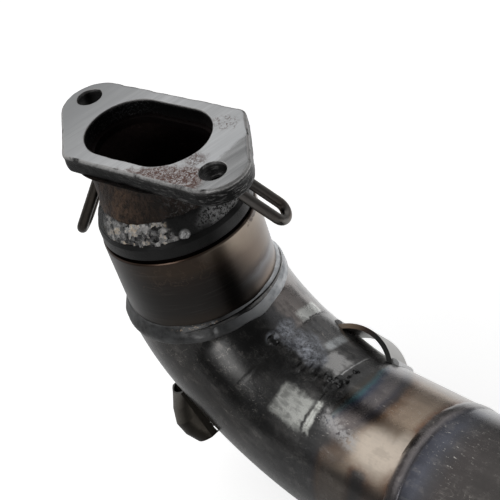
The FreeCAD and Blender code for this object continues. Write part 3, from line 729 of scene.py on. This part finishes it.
def sleeve_material():
    """Bronze at the right, a brown band at the mouth and dark tint in the middle."""
    m = Shade("sleeve_steel", coat=0.3)
    s, a = m.station()
    rag = m.noise(0.14, 4, 0.6)
    fine = m.noise(0.9, 5, 0.7)
    sw = m.warp(m.warp(s, rag, 3.6), fine, 0.8)
    aw = m.warp(a, rag, 12)
    left = m.bands(sw, SLEEVE_LEFT)
    edge = m.step(aw, 50, 90)
    left = m.mix(m.times(edge, 0.75), left, rgb(26, 23, 21))
    right = m.bands(sw, SLEEVE_RIGHT)
    slant = m.add(aw, m.times(m.sub(s, 34), 1.15))
    bronze = m.times(m.step(slant, 30, -8), m.step(a, -150, -105))
    m.colour = m.mix(bronze, left, right)
    dark = m.patch(s, a, 50, 10, 10, 20, 0.6, 0.7, rag)
    m.paint(rgb(24, 20, 18), dark, 0.4)
    lines = m.lengthwise(s, 1.3, 1.2, 4)
    m.paint(grey(110, 4), m.step(lines, 0.52, 0.75), 0.1)
    vein = m.times(m.veins(m.noise(0.16, 3, 0.5), 0.012, 0.004), m.box(s, a, 33, 43, 20, 90, 2))
    m.paint(rgb(110, 92, 76), vein, 0.14)
    lip = m.step(s, 32.4, 32)
    m.paint(rgb(82, 62, 50), lip, 0.5)
    chips = m.patch(s, a, 33, -35, 2, 15, 0.3, 2.4, fine)
    chips = m.times(m.step(m.warp(s, fine, 2), 34.4, 33.6), chips)
    m.paint(rgb(48, 32, 26), chips, 0.9)
    m.specks(grey(120, 4), 1.6, 0.72, 0.76, 0.5)
    height = m.add(m.times(fine, 0.18), m.times(lines, 0.2))
    return m.finish(m.blend(rag, 0.26, 0.36), height, 0.3, 0.2)


def bead_material():
    """The main weld: black and grey on the left, silvery blue-grey on the right."""
    m = Shade("main_weld_metal", 0.6, coat=0.4)
    s, a = m.station()
    rag = m.noise(0.25, 5, 0.65)
    fine = m.noise(1.1, 5, 0.75)
    right = m.times(m.step(m.warp(a, rag, 26), 30, -26), m.step(a, -150, -105))
    left_tone = m.mix(m.step(rag, 0.35, 0.65), grey(40), grey(72, -1))
    right_tone = m.mix(m.step(rag, 0.3, 0.7), rgb(184, 188, 193), rgb(246, 248, 250))
    m.colour = m.mix(right, left_tone, right_tone)
    low = m.times(m.step(s, 60.4, 62.6), m.step(a, 40, 10))
    m.paint(grey(62, 1), low, 0.6)
    lump = m.patch(s, a, 60, 40, 3.6, 8, 0.3, 0.8, rag)
    m.paint(m.mix(fine, grey(64), grey(126)), lump, 0.6)
    # Painted glints: light tan-gold specks along the bead's upper edge
    edge_glints = m.times(m.step(s, 58.9, 58.2), m.step(fine, 0.56, 0.64), m.box(s, a, 50, 62, 30, 60, 4))
    m.paint(rgb(205, 178, 150), edge_glints, 0.75)
    m.specks(grey(170, 3), 1.5, 0.68, 0.73, 0.6)
    black = m.step(m.noise(0.45, 5, 0.8), 0.6, 0.72)
    m.paint(grey(22), black, 0.6)
    height = m.add(m.times(fine, 0.6), m.times(rag, 0.4))
    return m.finish(m.blend(rag, 0.42, 0.6), height, 0.45, 0.35)


def crystal_material():
    """The collar's weld: bright broken metal with painted glints on one side, black elsewhere."""
    m = Shade("collar_weld_metal")
    s, a = m.station()
    rag = m.noise(0.3, 5, 0.7)
    fine = m.noise(1.2, 6, 0.8)
    zone = m.most(
        m.patch(s, a, 20.9, 74, 5, 29, 0.25, 1, rag),
        m.patch(s, a, 23.4, 46, 2.8, 10, 0.3, 1, rag))
    blob = m.patch(s, a, 23.9, 29.7, 1.5, 3.8, 0.25, 0.5, fine)
    spatter = m.times(m.patch(s, a, 22, -12, 4.4, 24, 0.4, 1.2, rag), m.step(fine, 0.44, 0.54))
    push = m.node("ShaderNodeTexNoise")
    m.put(push.inputs["Vector"], m.place)
    m.put(push.inputs["Scale"], 0.9)
    shifted = m.vector("ADD", m.place, m.vector("SCALE", push.outputs["Color"], scale=1.5))
    tones = []
    for scale in (1.2, 0.55):
        cell = m.node("ShaderNodeTexVoronoi")
        m.put(cell.inputs["Vector"], shifted)
        m.put(cell.inputs["Scale"], scale)
        tones.append(m.split(cell.outputs["Color"])[0])
        facet_height = cell.outputs["Distance"]
    facet = m.blend(0.68, tones[0], tones[1])
    # Facet tones from dark grey to white; the white and golden tones at the top are painted glints
    tone = m.ramp(facet, [
        (0.1, grey(56)), (0.28, grey(110)), (0.5, grey(172, 1)), (0.7, grey(228, 2)),
        (0.82, rgb(240, 222, 196)), (0.95, grey(255))])
    tone = m.mix(m.step(fine, 0.57, 0.64), tone, grey(22))
    tone = m.mix(m.times(m.step(a, 74, 98), 0.5), tone, grey(70))
    base = m.mix(rag, grey(28), grey(56))
    m.colour = m.mix(m.times(zone, 0.95), base, tone)
    m.paint(m.mix(m.step(fine, 0.35, 0.6), grey(84), grey(226)), blob, 0.9)
    m.paint(grey(176), spatter, 0.75)
    rough = m.blend(zone, 0.42, 0.28)
    height = m.add(m.times(fine, m.blend(zone, 0.6, 0.8)), m.times(facet_height, zone, 1.2))
    height = m.add(height, m.times(facet, zone, 0.7))
    return m.finish(rough, height, 0.9, 0.8)


def dark_material(name, low, high, warm=1, fleck=0.7, rough=(0.35, 0.55)):
    """Satin dark steel with slight wear."""
    m = Shade(name)
    broad = m.noise(0.12, 4, 0.6)
    fine = m.noise(1.1, 5, 0.75)
    m.colour = m.mix(broad, grey(low, warm), grey(high, warm))
    worn = m.step(fine, fleck, fleck + 0.08)
    m.paint(grey(high + 60, warm), worn, 0.6)
    return m.finish(m.blend(broad, rough[0], rough[1]), fine, 0.4, 0.25)


def hook_material():
    """Dark satin rod, the right hook painted lighter as a highlight, with a brown cast toward the loop's
    end.
    """
    m = Shade("hook_steel")
    broad = m.noise(0.15, 4, 0.6)
    fine = m.noise(1.2, 5, 0.75)
    m.colour = m.mix(broad, rgb(52, 50, 48), rgb(78, 72, 66))
    x, _, z = m.split(m.place)
    # Painted highlight: the hook on the +x side is lighter grey
    m.paint(rgb(118, 115, 112), m.step(x, 0, 20), 0.7)
    end = m.step(z, -20, -34)
    m.paint(rgb(92, 76, 64), end, m.step(broad, 0.4, 0.6), 0.5)
    m.paint(grey(130, 3), m.step(fine, 0.64, 0.72), 0.5)
    return m.finish(m.blend(broad, 0.26, 0.4), fine, 0.3, 0.2)


def strap_material():
    """Grey sheet, pale outside and taupe inside, its cut edge bronze running to black."""
    m = Shade("strap_sheet", 0.5)
    out, ahead, wide = local_axes(STRAP_S, STRAP_ANGLE)
    normal = m.normal()
    on_edge = m.step(m.abs(m.vector("DOT_PRODUCT", normal, tuple(wide))), 0.6, 0.8)
    hub = centre_at(STRAP_S) + out * PIPE_R
    from_hub = m.vector("SUBTRACT", m.place, tuple(hub))
    outside = m.step(m.vector("DOT_PRODUCT", normal, tuple(out)), -0.1, 0.1)
    run = m.vector("DOT_PRODUCT", from_hub, tuple(ahead))
    rag = m.noise(0.22, 4, 0.6)
    sheet = m.mix(rag, rgb(158, 156, 152), rgb(182, 181, 178))
    sheet = m.mix(m.sub(1, outside), sheet, rgb(120, 116, 110))
    cut = m.bands(m.warp(run, rag, 3), (
        (-14, 176, 166, 156), (-7.84, 150, 130, 110), (-2.24, 66, 50, 42), (2.8, 35, 34, 33),
        (14, 41, 40, 39)))
    m.colour = m.mix(on_edge, sheet, cut)
    return m.finish(m.blend(rag, 0.3, 0.4), m.noise(0.9, 4), 0.25, 0.2)


def side_bracket_material():
    """Dark brown-grey sheet, its faces turned toward -x and -y painted lighter as a highlight."""
    m = Shade("side_sheet")
    rag = m.noise(0.15, 5, 0.65)
    fine = m.noise(1.2, 5, 0.75)
    m.colour = m.mix(rag, rgb(40, 38, 35), rgb(58, 54, 49))
    normal = m.normal()
    # Painted highlight: faces turned toward -x and -y, a little up, are lighter
    turned = m.step(m.vector("DOT_PRODUCT", normal, (-0.8, -0.55, 0.25)), 0.55, 0.95)
    m.paint(rgb(104, 99, 92), turned, 0.8)
    m.paint(grey(28, 2), m.step(fine, 0.58, 0.75))
    m.specks(rgb(130, 120, 112), 1.5, 0.7, 0.75, 0.5)
    return m.finish(m.blend(rag, 0.32, 0.48), fine, 0.35, 0.25)


materials = {
    "flange": flange_material(),
    "neck": neck_material(),
    "inner": inner_material(),
    "pipe": pipe_material(),
    "sleeve": sleeve_material(),
    "bead": bead_material(),
    "crystal": crystal_material(),
    "collar": dark_material("collar_steel", 34, 54, 0.0, 0.68, (0.30, 0.45)),
    "hook": hook_material(),
    "hook_weld": dark_material("hook_weld_metal", 44, 110, 0.0, 0.56, (0.3, 0.5)),
    "strap_weld": dark_material("strap_weld_metal", 150, 205, 0.0, 0.60, (0.3, 0.5)),
    "strap": strap_material(),
    "side": side_bracket_material(),
    "lump": dark_material("lump_metal", 34, 96, 0.0, 0.60, (0.12, 0.24)),
}


def dress(piece, key):
    """Gives a piece its material."""
    piece.data.materials.clear()
    piece.data.materials.append(materials[key])


def place(piece, key, slot, *nodes):
    """Gives a new piece its material and its body, and hides the solids it stands for; the slot is not used.
    """
    dress(piece, key)
    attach(piece, "root")
    if nodes:
        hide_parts(*nodes)
    return piece


def rounded_corners(corners, spacing=0.7):
    """Points and outward directions of an outline whose corners are rounded."""
    points = []
    count = len(corners)
    stops = []
    for i, (x, y, r) in enumerate(corners):
        here = np.array([x, y])
        before = unit(np.array(corners[i - 1][:2]) - here)
        after = unit(np.array(corners[(i + 1) % count][:2]) - here)
        half = math.acos(before.dot(after)) / 2
        hub = here + unit(before + after) * (r / math.sin(half))
        stops.append((here + before * (r / math.tan(half)), hub, here + after * (r / math.tan(half)), r))
    for i, (enter, hub, leave, r) in enumerate(stops):
        first = math.atan2(*(enter - hub)[::-1])
        swept = math.atan2(*(leave - hub)[::-1]) - first
        swept = (swept + math.pi) % (2 * math.pi) - math.pi
        steps = max(4, int(abs(swept) * r / spacing))
        for t in np.linspace(first, first + swept, steps):
            points.append(hub + r * np.array([math.cos(t), math.sin(t)]))
        onward = stops[(i + 1) % count][0]
        steps = int(np.linalg.norm(onward - leave) / spacing)
        for share in np.linspace(0, 1, steps + 1)[1:-1]:
            points.append(leave + (onward - leave) * share)
    return np.array(points)


def outline_directions(points):
    """Directions square to a closed outline, to its right as it is walked."""
    ahead = np.roll(points, -1, 0) - np.roll(points, 1, 0)
    ahead = ahead / np.linalg.norm(ahead, axis=1)[:, None]
    return np.stack([ahead[:, 1], -ahead[:, 0]], 1)


def port_outline(spacing=0.6):
    """The oval port, walked the other way round than the plate's outline."""
    flat = PORT_HALF_LENGTH - PORT_HALF_WIDTH
    steps = int(math.pi * PORT_HALF_WIDTH / spacing)
    points = []
    for centre, first in ((flat, math.pi / 2), (-flat, -math.pi / 2)):
        for t in np.linspace(first, first - math.pi, steps):
            points.append((centre + PORT_HALF_WIDTH * math.cos(t), PORT_HALF_WIDTH * math.sin(t)))
        side = -1 if centre > 0 else 1
        for x in np.linspace(centre, -centre, int(2 * flat / spacing))[1:-1]:
            points.append((x, side * PORT_HALF_WIDTH))
    return np.array(points)


def hole_outline(x, y, steps=72):
    t = np.linspace(2 * math.pi, 0, steps, endpoint=False)
    return np.stack([x + BOLT_HOLE_R * np.cos(t), y + BOLT_HOLE_R * np.sin(t)], 1)


def worn_wall(points, outward, worn, wear_w, wear_h, wave):
    """Rings of points down a wall whose upper edge is worn round; wear in millimetres."""
    at = np.concatenate([points, np.zeros((len(points), 1))], 1)
    shake = value_noise(at, 0.16, 4)
    width = wear_w * np.clip(1 + worn * shake, 0.25, 2.2)
    height = wear_h * np.clip(1 + worn * value_noise(at + 40.0, 0.2, 4), 0.3, 2.2)
    rings = [(-width - 0.35, np.zeros(len(points)))]
    for t in np.linspace(0, math.pi / 2, 6):
        rings.append((-width * (1 - math.sin(t)), -height * (1 - math.cos(t))))
    for depth in np.linspace(0.30, 0.92, 6):
        sway = wave * value_noise(at - np.array([0, 0, depth * 6.0]), 0.30, 3)
        rings.append((np.minimum(sway, 0) - 0.02, np.full(len(points), -depth * PLATE_T)))
    rings.append((np.full(len(points), -0.3), np.full(len(points), -PLATE_T)))
    walls = []
    for inset, z in rings:
        flat = points + outward * inset[:, None]
        walls.append(np.concatenate([flat, z[:, None]], 1))
    return walls


def make_flange():
    """The plate with worn rims, its top and bottom faces filled between the outlines."""
    corners = (
        (-PLATE_TIP_X, PLATE_HALF_WIDTH, PLATE_TIP_R),
        (-PLATE_CORNER_FRONT_X, -PLATE_HALF_WIDTH, PLATE_CORNER_R),
        (PLATE_TIP_X, -PLATE_HALF_WIDTH, PLATE_TIP_R),
        (PLATE_CORNER_REAR_X, PLATE_HALF_WIDTH, PLATE_CORNER_R))
    outlines = [(rounded_corners(corners), 0.5, 1.0, 1.05, 0.30), (port_outline(), 0.8, 0.35, 0.40, 0.15)]
    for side in (-1, 1):
        outlines.append((hole_outline(side * BOLT_X, -side * BOLT_Y), 0.4, 0.30, 0.30, 0.05))
    bm = bmesh.new()
    top_edges = []
    bottom_edges = []
    for points, worn, wear_w, wear_h, wave in outlines:
        walls = worn_wall(points, outline_directions(points), worn, wear_w, wear_h, wave)
        rings = [[bm.verts.new(p * MM) for p in ring] for ring in walls]
        count = len(points)
        for upper, lower in zip(rings, rings[1:]):
            for j in range(count):
                k = (j + 1) % count
                bm.faces.new((upper[j], lower[j], lower[k], upper[k]))
        for ring, edges in ((rings[0], top_edges), (rings[-1], bottom_edges)):
            for j in range(count):
                edges.append(bm.edges.get((ring[j], ring[(j + 1) % count])) or bm.edges.new(
                    (ring[j], ring[(j + 1) % count])))
    for edges in (top_edges, bottom_edges):
        bmesh.ops.triangle_fill(bm, edges=edges, use_beauty=True)
    bmesh.ops.recalc_face_normals(bm, faces=bm.faces)
    mesh = bpy.data.meshes.new("worn_flange")
    bm.to_mesh(mesh)
    bm.free()
    mesh.polygons.foreach_set("use_smooth", [True] * len(mesh.polygons))
    return add_object("worn_flange", mesh)


place(make_flange(), "flange", "flange_steel", "flange_plate")


# Solids that keep their own mesh
KEPT = {
    "neck_tube": "neck", "flange_weld": "neck", "collar": "collar", "spigot": "inner",
    "hook_right": "hook", "hook_left": "hook", "strap_bracket": "strap", "side_bracket": "side",
    "hook_weld_right": "hook_weld", "hook_weld_left": "hook_weld",
    "strap_weld_upper": "strap_weld", "strap_weld_lower": "strap_weld", "port_weld": "inner"}
for node_name, key in KEPT.items():
    dress(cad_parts[node_name], key)


def ridge(s, at, half, proud):
    """A low rounded ridge across a station."""
    t = np.clip(1 - ((s - at) / half) ** 2, 0, 1)
    return proud * t ** 0.7


# Domes on the bend: station, angle, radius and height
DOMES = (
    (96.8, 8, 2.3, 0.9), (116.5, 8.5, 2, 0.9), (121.5, 2.5, 2.3, 1.1), (130.3, 3.5, 1.5, 0.9),
    (138.3, -6, 0.9, 0.6), (112, 4.5, 1.5, 0.5), (126, 6.5, 1.8, 0.6), (133.5, 8, 1.6, 0.6),
    (102, 2.5, 1.9, 0.5), (118.5, -6, 2, 0.35))


def crust_at(S, A):
    """How thick the oxide crust lies, from 0 to 1, along its crooked way down the bend."""
    degrees = np.degrees(A)
    way = np.interp(S, (92, 97, 103, 109, 114, 120, 127, 134, 141), (-6, 3, 1, 0, 3, 2, 6, 6, 5))
    wide = np.interp(S, (90, 95, 106, 118, 127, 138, 144), (3, 9, 10, 12, 8, 9, 2))
    ends = np.clip((S - 91) / 4, 0, 1) * np.clip((145 - S) / 5, 0, 1)
    return ends * np.clip(1.25 - np.abs(degrees - way) / wide, 0, 1)


def pipe_outer(S, A):
    """The bend's outer radius: crust, domes, seams and slight waves."""
    P = surface_point(S, A, PIPE_R)
    crust = crust_at(S, A)
    lumps = np.maximum(value_noise(P, 0.36, 2), -0.4)
    R = PIPE_R - 0.08 + value_noise(P, 0.05, 3) * 0.06 + crust * (0.12 + 0.36 * lumps)
    for s, angle, radius, height in DOMES:
        across = (A - math.radians(angle)) * PIPE_R
        far = ((S - s) ** 2 + across ** 2) / radius ** 2
        shape = np.sqrt(np.clip(1.0 - far * (1 + 0.35 * lumps), 0, 1))
        R = np.maximum(R, PIPE_R + shape * height - 0.05 * (shape <= 0))
    wavy = S + lumps * 0.3
    shown = np.exp(-((np.degrees(A) - 2.0) / 46.0) ** 4)
    R = R + 0.5 * np.exp(-((S - 118.0) / 17.0) ** 4 - ((np.degrees(A) + 58.0) / 26.0) ** 4)
    R = R + shown * (ridge(wavy, UPPER_SEAM_S, 1.1, 0.06) + ridge(wavy, LOWER_SEAM_S, 0.9, 0.07))
    return R + ridge(wavy, OUTLET_SEAM_S + 1.2, 2.4, 0.40)


def sleeve_outer(S, A):
    """The sleeve's outer radius, its lip turned in a little."""
    P = surface_point(S, A, SLEEVE_R)
    R = SLEEVE_R - 0.05 + value_noise(P, 0.05, 2) * 0.05
    return R - 0.35 * np.clip(1 - (S - MOUTH_S) / 0.5, 0, 1) ** 2


TUBES = (
    ("elbow_upper", UPPER_SEAM_S - SEAM_HALF, "scaled_steel"),
    ("upper_seam", UPPER_SEAM_S + SEAM_HALF, "scaled_steel"),
    ("elbow_lower", LOWER_SEAM_S - SEAM_HALF, "scaled_steel"),
    ("lower_seam", LOWER_SEAM_S + SEAM_HALF, "scaled_steel"),
    ("tinted_tube", OUTLET_SEAM_S - OUTLET_SEAM_HALF, "banded_steel"),
    ("outlet_weld", OUTLET_SEAM_S + OUTLET_SEAM_HALF, "weld_metal"),
    ("outlet_tube", OUTLET_END_S, "banded_steel"))
start = SLEEVE_END_S
for name, end, slot in TUBES:
    tube = make_tube(name + "_skin", start, end, pipe_outer, PIPE_R - WALL, 0.42, 320)
    place(tube, "pipe", slot, name)
    start = end
sleeve = make_tube(
    "inlet_sleeve_skin", MOUTH_S, SLEEVE_END_S, sleeve_outer, SLEEVE_R - WALL, 0.4, 280)
place(sleeve, "sleeve", "tinted_steel", "inlet_sleeve")


def surface_radius(z, angle):
    """Radius from the inlet axis to the bending pipe's surface at a height along that axis."""
    low = np.full(z.shape, 15.0)
    high = np.full(z.shape, 32.8)
    for _ in range(40):
        middle = (low + high) / 2
        x = middle * np.cos(angle)
        y = middle * np.sin(angle)
        ring = np.sqrt((TIGHT_BEND_R - x) ** 2 + (np.maximum(z - TIGHT_BEND_S, 0)) ** 2)
        outside = (ring - TIGHT_BEND_R) ** 2 + y ** 2 > PIPE_R ** 2
        high = np.where(outside, middle, high)
        low = np.where(outside, low, middle)
    return (low + high) / 2


def ring_points(z, angle, radius):
    """Points round the inlet axis from heights along it, angles and radii."""
    out = np.cos(angle)[..., None] * INWARD + np.sin(angle)[..., None] * SIDEWAYS
    return np.asarray(z)[..., None] * AXIS_IN + out * np.asarray(radius)[..., None]


def make_ring(name, upper, lower, base, height, around=420, across=22):
    """A weld run round the inlet axis from its two edges, the surface under it and its height."""
    a = np.linspace(-math.pi, math.pi, around, endpoint=False)
    T, A = np.meshgrid(np.linspace(0, 1, across), a, indexing="ij")
    Z = upper(A) + (lower(A) - upper(A)) * T
    R = base(Z, A, T) + height(Z, A, T)
    back = [-1, 0]
    stations = np.concatenate([Z, Z[back]])
    angles = np.concatenate([A, A[back]])
    points = ring_points(stations, angles, np.concatenate([R, R[back] - 1.6]))
    faces = grid_faces(across + 2, around, 0, closed_rows=True)
    return make_mesh(name, points.reshape(-1, 3), [f[::-1] for f in faces], stations.ravel(), angles.ravel())


def main_upper(A):
    wave = value_noise(ring_points(57.5, A, SLEEVE_R), 0.12, 2)
    return MAIN_BEAD_TOP_S + 0.45 * wave


def main_lower(A):
    wave = value_noise(ring_points(63.0, A, SLEEVE_R), 0.10, 2)
    inside = np.clip(np.cos(A), 0, 1)
    return MAIN_BEAD_FOOT_S - 2.6 * inside ** 2 + 0.5 * wave


def main_base(Z, A, T):
    begin = SLEEVE_R - 0.25
    finish = surface_radius(Z, A) - 0.2
    share = np.clip((T - 0.02) / 0.7, 0, 1)
    return begin + (finish - begin) * share * share * (3 - 2 * share)


def main_height(Z, A, T):
    """A smooth dome with a stop mark in front, and a second ridge under it on the inside."""
    P = ring_points(Z, A, SLEEVE_R)
    degrees = np.degrees(A)
    step_up = 0.45 * np.clip(T / 0.05, 0, 1) * np.clip((1 - T) / 0.1, 0, 1)
    dome = step_up + 0.65 * np.sin(np.pi * np.clip(T, 0, 1)) ** 0.9
    lumps = value_noise(P, 0.16, 2) * 0.22 + value_noise(P, 0.7, 3) * 0.07
    stop = 0.35 * np.exp(-((degrees - 43.0) / 6.5) ** 2)
    stop = stop - 0.45 * np.exp(-((degrees - 34.5) / 1.6) ** 2)
    inner_half = np.clip((26.0 - degrees) / 20.0, 0, 1)
    valley = 0.16 * inner_half * np.exp(-((T - 0.68) / 0.12) ** 2)
    return dome * (1.0 + lumps + stop) - valley


main_bead = make_ring("main_bead", main_upper, main_lower, main_base, main_height)
place(main_bead, "bead", "weld_metal", "sleeve_weld")


def collar_upper(A):
    wave = value_noise(ring_points(18.0, A, NECK_R), 0.2, 3)
    return NECK_ROUND_S + 0.8 + 1.0 * wave


def collar_lower(A):
    return np.full(A.shape, COLLAR_TOP_S + 0.8)


def collar_base(Z, A, T):
    return NECK_R - 0.1 + (COLLAR_R - 0.5 - NECK_R) * T ** 0.8


def collar_height(Z, A, T):
    """Slightly lumpy, with broken facets on the near side and one blob beside them."""
    P = ring_points(Z, A, NECK_R)
    dome = np.sin(np.pi * np.clip(T * 0.9 + 0.05, 0, 1)) ** 0.8
    degrees = np.degrees(A)
    broken = np.exp(-((degrees - 63.0) / 24.0) ** 4)
    facets = np.array([noise.cell(Vector(p)) for p in (P * 0.9).reshape(-1, 3)]).reshape(Z.shape)
    grain = value_noise(P, 0.35, 3) * 0.2 + broken * (0.45 * facets + value_noise(P, 1.1, 3) * 0.35)
    across = (degrees - 29.7) / 3.9
    along = (Z - 23.8) / 1.5
    uneven = 1 + 0.8 * value_noise(P, 0.5, 3)
    blob = 0.8 * np.sqrt(np.clip(1.0 - (across ** 2 + along ** 2) * uneven, 0, 1))
    return dome * (0.35 + grain) + blob


collar_bead = make_ring(
    "collar_bead", collar_upper, collar_lower, collar_base, collar_height, around=480, across=30)
place(collar_bead, "crystal", "weld_metal", "collar_weld")


def make_lump(name, s, angle, reach, drops, seed):
    """Drops of weld metal run together: each drop is a place, a radius and a height."""
    rows, columns = 26, 64
    out, ahead, wide = local_axes(s, angle)
    centre = centre_at(s) + out * PIPE_R
    far, turn = np.meshgrid(
        np.linspace(1.0, 0.0, rows, endpoint=False), np.linspace(0, 2 * math.pi, columns, endpoint=False),
        indexing="ij")
    u = reach * far * np.cos(turn)
    v = reach * far * np.sin(turn)
    shake = value_noise(np.stack([u, v, np.full(u.shape, seed)], -1), 0.9, 3)
    height = np.full(u.shape, -0.35)
    for across, down, radius, proud in drops:
        square = ((u - across) ** 2 + (v - down) ** 2) / radius ** 2 * (1 + 0.15 * shake)
        height = np.maximum(height, proud * np.sqrt(np.clip(1 - square, 0, 1)) - 0.35 * (square > 1))
    sink = v ** 2 / (2 * PIPE_R)
    P = centre + u[..., None] * ahead + v[..., None] * wide + (height - sink)[..., None] * out
    points = list(P.reshape(-1, 3))
    top = len(points)
    points.append(centre + out * height[-1].mean())
    faces = grid_faces(rows, columns)
    last = (rows - 1) * columns
    faces += [(top, last + j, last + (j + 1) % columns) for j in range(columns)]
    faces.append(tuple(range(columns))[::-1])
    return make_mesh(name, points, faces)


LUMPS = (
    ("weld_lump_1", 96.8, 8.5, 2.2, ((0, 0, 2, 0.9), (1.2, 0.9, 0.9, 1))),
    ("weld_lump_2", 130.2, 3.2, 2.2, ((-0.2, 0.2, 1.4, 1), (1, -0.8, 1, 0.8), (-1, 0.9, 0.8, 0.7))),
    ("weld_lump_3", 136.6, 1, 3.3,
        ((-0.3, 0.2, 1.9, 1.35), (1.5, 0.9, 1.2, 1.1), (-1.7, -1.1, 1.1, 0.9), (0.9, -1.6, 1, 0.8))),
    ("weld_lump_4", 137.8, -12, 1.5, ((0, 0, 1, 0.8), (0.7, 0.5, 0.6, 0.6))))
for i, (name, s, angle, reach, drops) in enumerate(LUMPS):
    lump = make_lump(name + "_skin", s, angle, reach, drops, i * 3.7)
    place(lump, "lump", "weld_metal", name)


def add_camera():
    data = bpy.data.cameras.new("camera")
    data.sensor_width = SENSOR
    data.lens = FOCAL_PIXELS / IMAGE_PIXELS * SENSOR
    data.clip_start = 0.01
    data.clip_end = 20.0
    camera = add_object("camera", data)
    columns = (CAMERA_RIGHT, CAMERA_UP, CAMERA_BACK)
    turn = Matrix([[c[i] for c in columns] for i in range(3)]).normalized().to_4x4()
    camera.matrix_world = Matrix.Translation(Vector(CAMERA_AT) * MM) @ turn
    bpy.context.scene.camera = camera


def add_light(name, at, target, size, power):
    data = bpy.data.lights.new(name, "AREA")
    data.shape = "RECTANGLE"
    data.size, data.size_y = size
    data.energy = power
    light = add_object(name, data)
    light.location = at
    light.rotation_euler = (Vector(target) - Vector(at)).to_track_quat("-Z", "Y").to_euler()


def add_world():
    """White where the camera sees it, a soft grey studio for light and reflections."""
    world = bpy.data.worlds.new("studio")
    bpy.context.scene.world = world
    world.use_nodes = True
    w = Nodes(world.node_tree)
    path = w.node("ShaderNodeLightPath").outputs
    where = w.node("ShaderNodeTexCoord").outputs["Generated"]
    up = w.split(where)[2]
    stops = [(at, (value, value, value)) for at, value in STUDIO_BY_HEIGHT]
    studio = w.ramp(w.math("MULTIPLY_ADD", up, 0.5, 0.5), stops)
    side = w.vector("DOT_PRODUCT", where, STUDIO_BRIGHT_SIDE)
    room = w.blend(w.step(side, -0.35, 0.35, "LINEAR"), 0.22, 1.0)
    studio = w.vector("SCALE", studio, scale=room)
    mirrored = w.times(path["Is Glossy Ray"], w.math("LESS_THAN", up, -0.11))
    shown = w.most(mirrored, path["Is Camera Ray"], path["Is Transmission Ray"])
    background = w.tree.nodes["Background"]
    w.put(background.inputs["Color"], w.mix(shown, studio, (1.0, 1.0, 1.0)))
    background.inputs["Strength"].default_value = 1.0


def add_floor(height):
    """A plain pale floor under the pipe."""
    mesh = bpy.data.meshes.new("floor")
    corners = [(x * FLOOR_HALF, y * FLOOR_HALF, height) for x, y in ((-1, -1), (1, -1), (1, 1), (-1, 1))]
    mesh.from_pydata(corners, [], [(0, 1, 2, 3)])
    floor = add_object("floor", mesh)
    material = bpy.data.materials.new("floor_white")
    material.use_nodes = True
    f = Nodes(material.node_tree)
    f.tree.nodes.remove(f.tree.nodes["Principled BSDF"])
    path = f.node("ShaderNodeLightPath").outputs
    side = f.vector("DOT_PRODUCT", f.node("ShaderNodeTexCoord").outputs["Object"], (0.5, 1.0, 0.0))
    mirrored = f.times(f.step(side, -0.02, 0.05, "LINEAR"), path["Is Glossy Ray"])
    shown = f.most(path["Is Camera Ray"], mirrored, path["Is Transmission Ray"])
    diffuse = f.node("ShaderNodeBsdfDiffuse")
    f.put(diffuse.inputs["Color"], (0.85, 0.85, 0.85))
    glow = f.node("ShaderNodeEmission")
    f.put(glow.inputs["Strength"], f.times(shown, 0.65))
    both = f.node("ShaderNodeAddShader")
    f.put(both.inputs[0], diffuse.outputs[0])
    f.put(both.inputs[1], glow.outputs[0])
    f.put(f.tree.nodes["Material Output"].inputs["Surface"], both.outputs[0])
    mesh.materials.append(material)


add_camera()
add_world()
add_floor(cad_box[0].z - 0.0004)
add_light("key", (-0.62, -0.10, 0.50), (0.06, -0.02, -0.06), (1.5, 1.5), 2.4)
add_light("front", (0.15, -0.8, 0.35), (0.03, -0.02, -0.08), (0.4, 0.3), 1.5)
bpy.context.scene.view_settings.view_transform = "Standard"
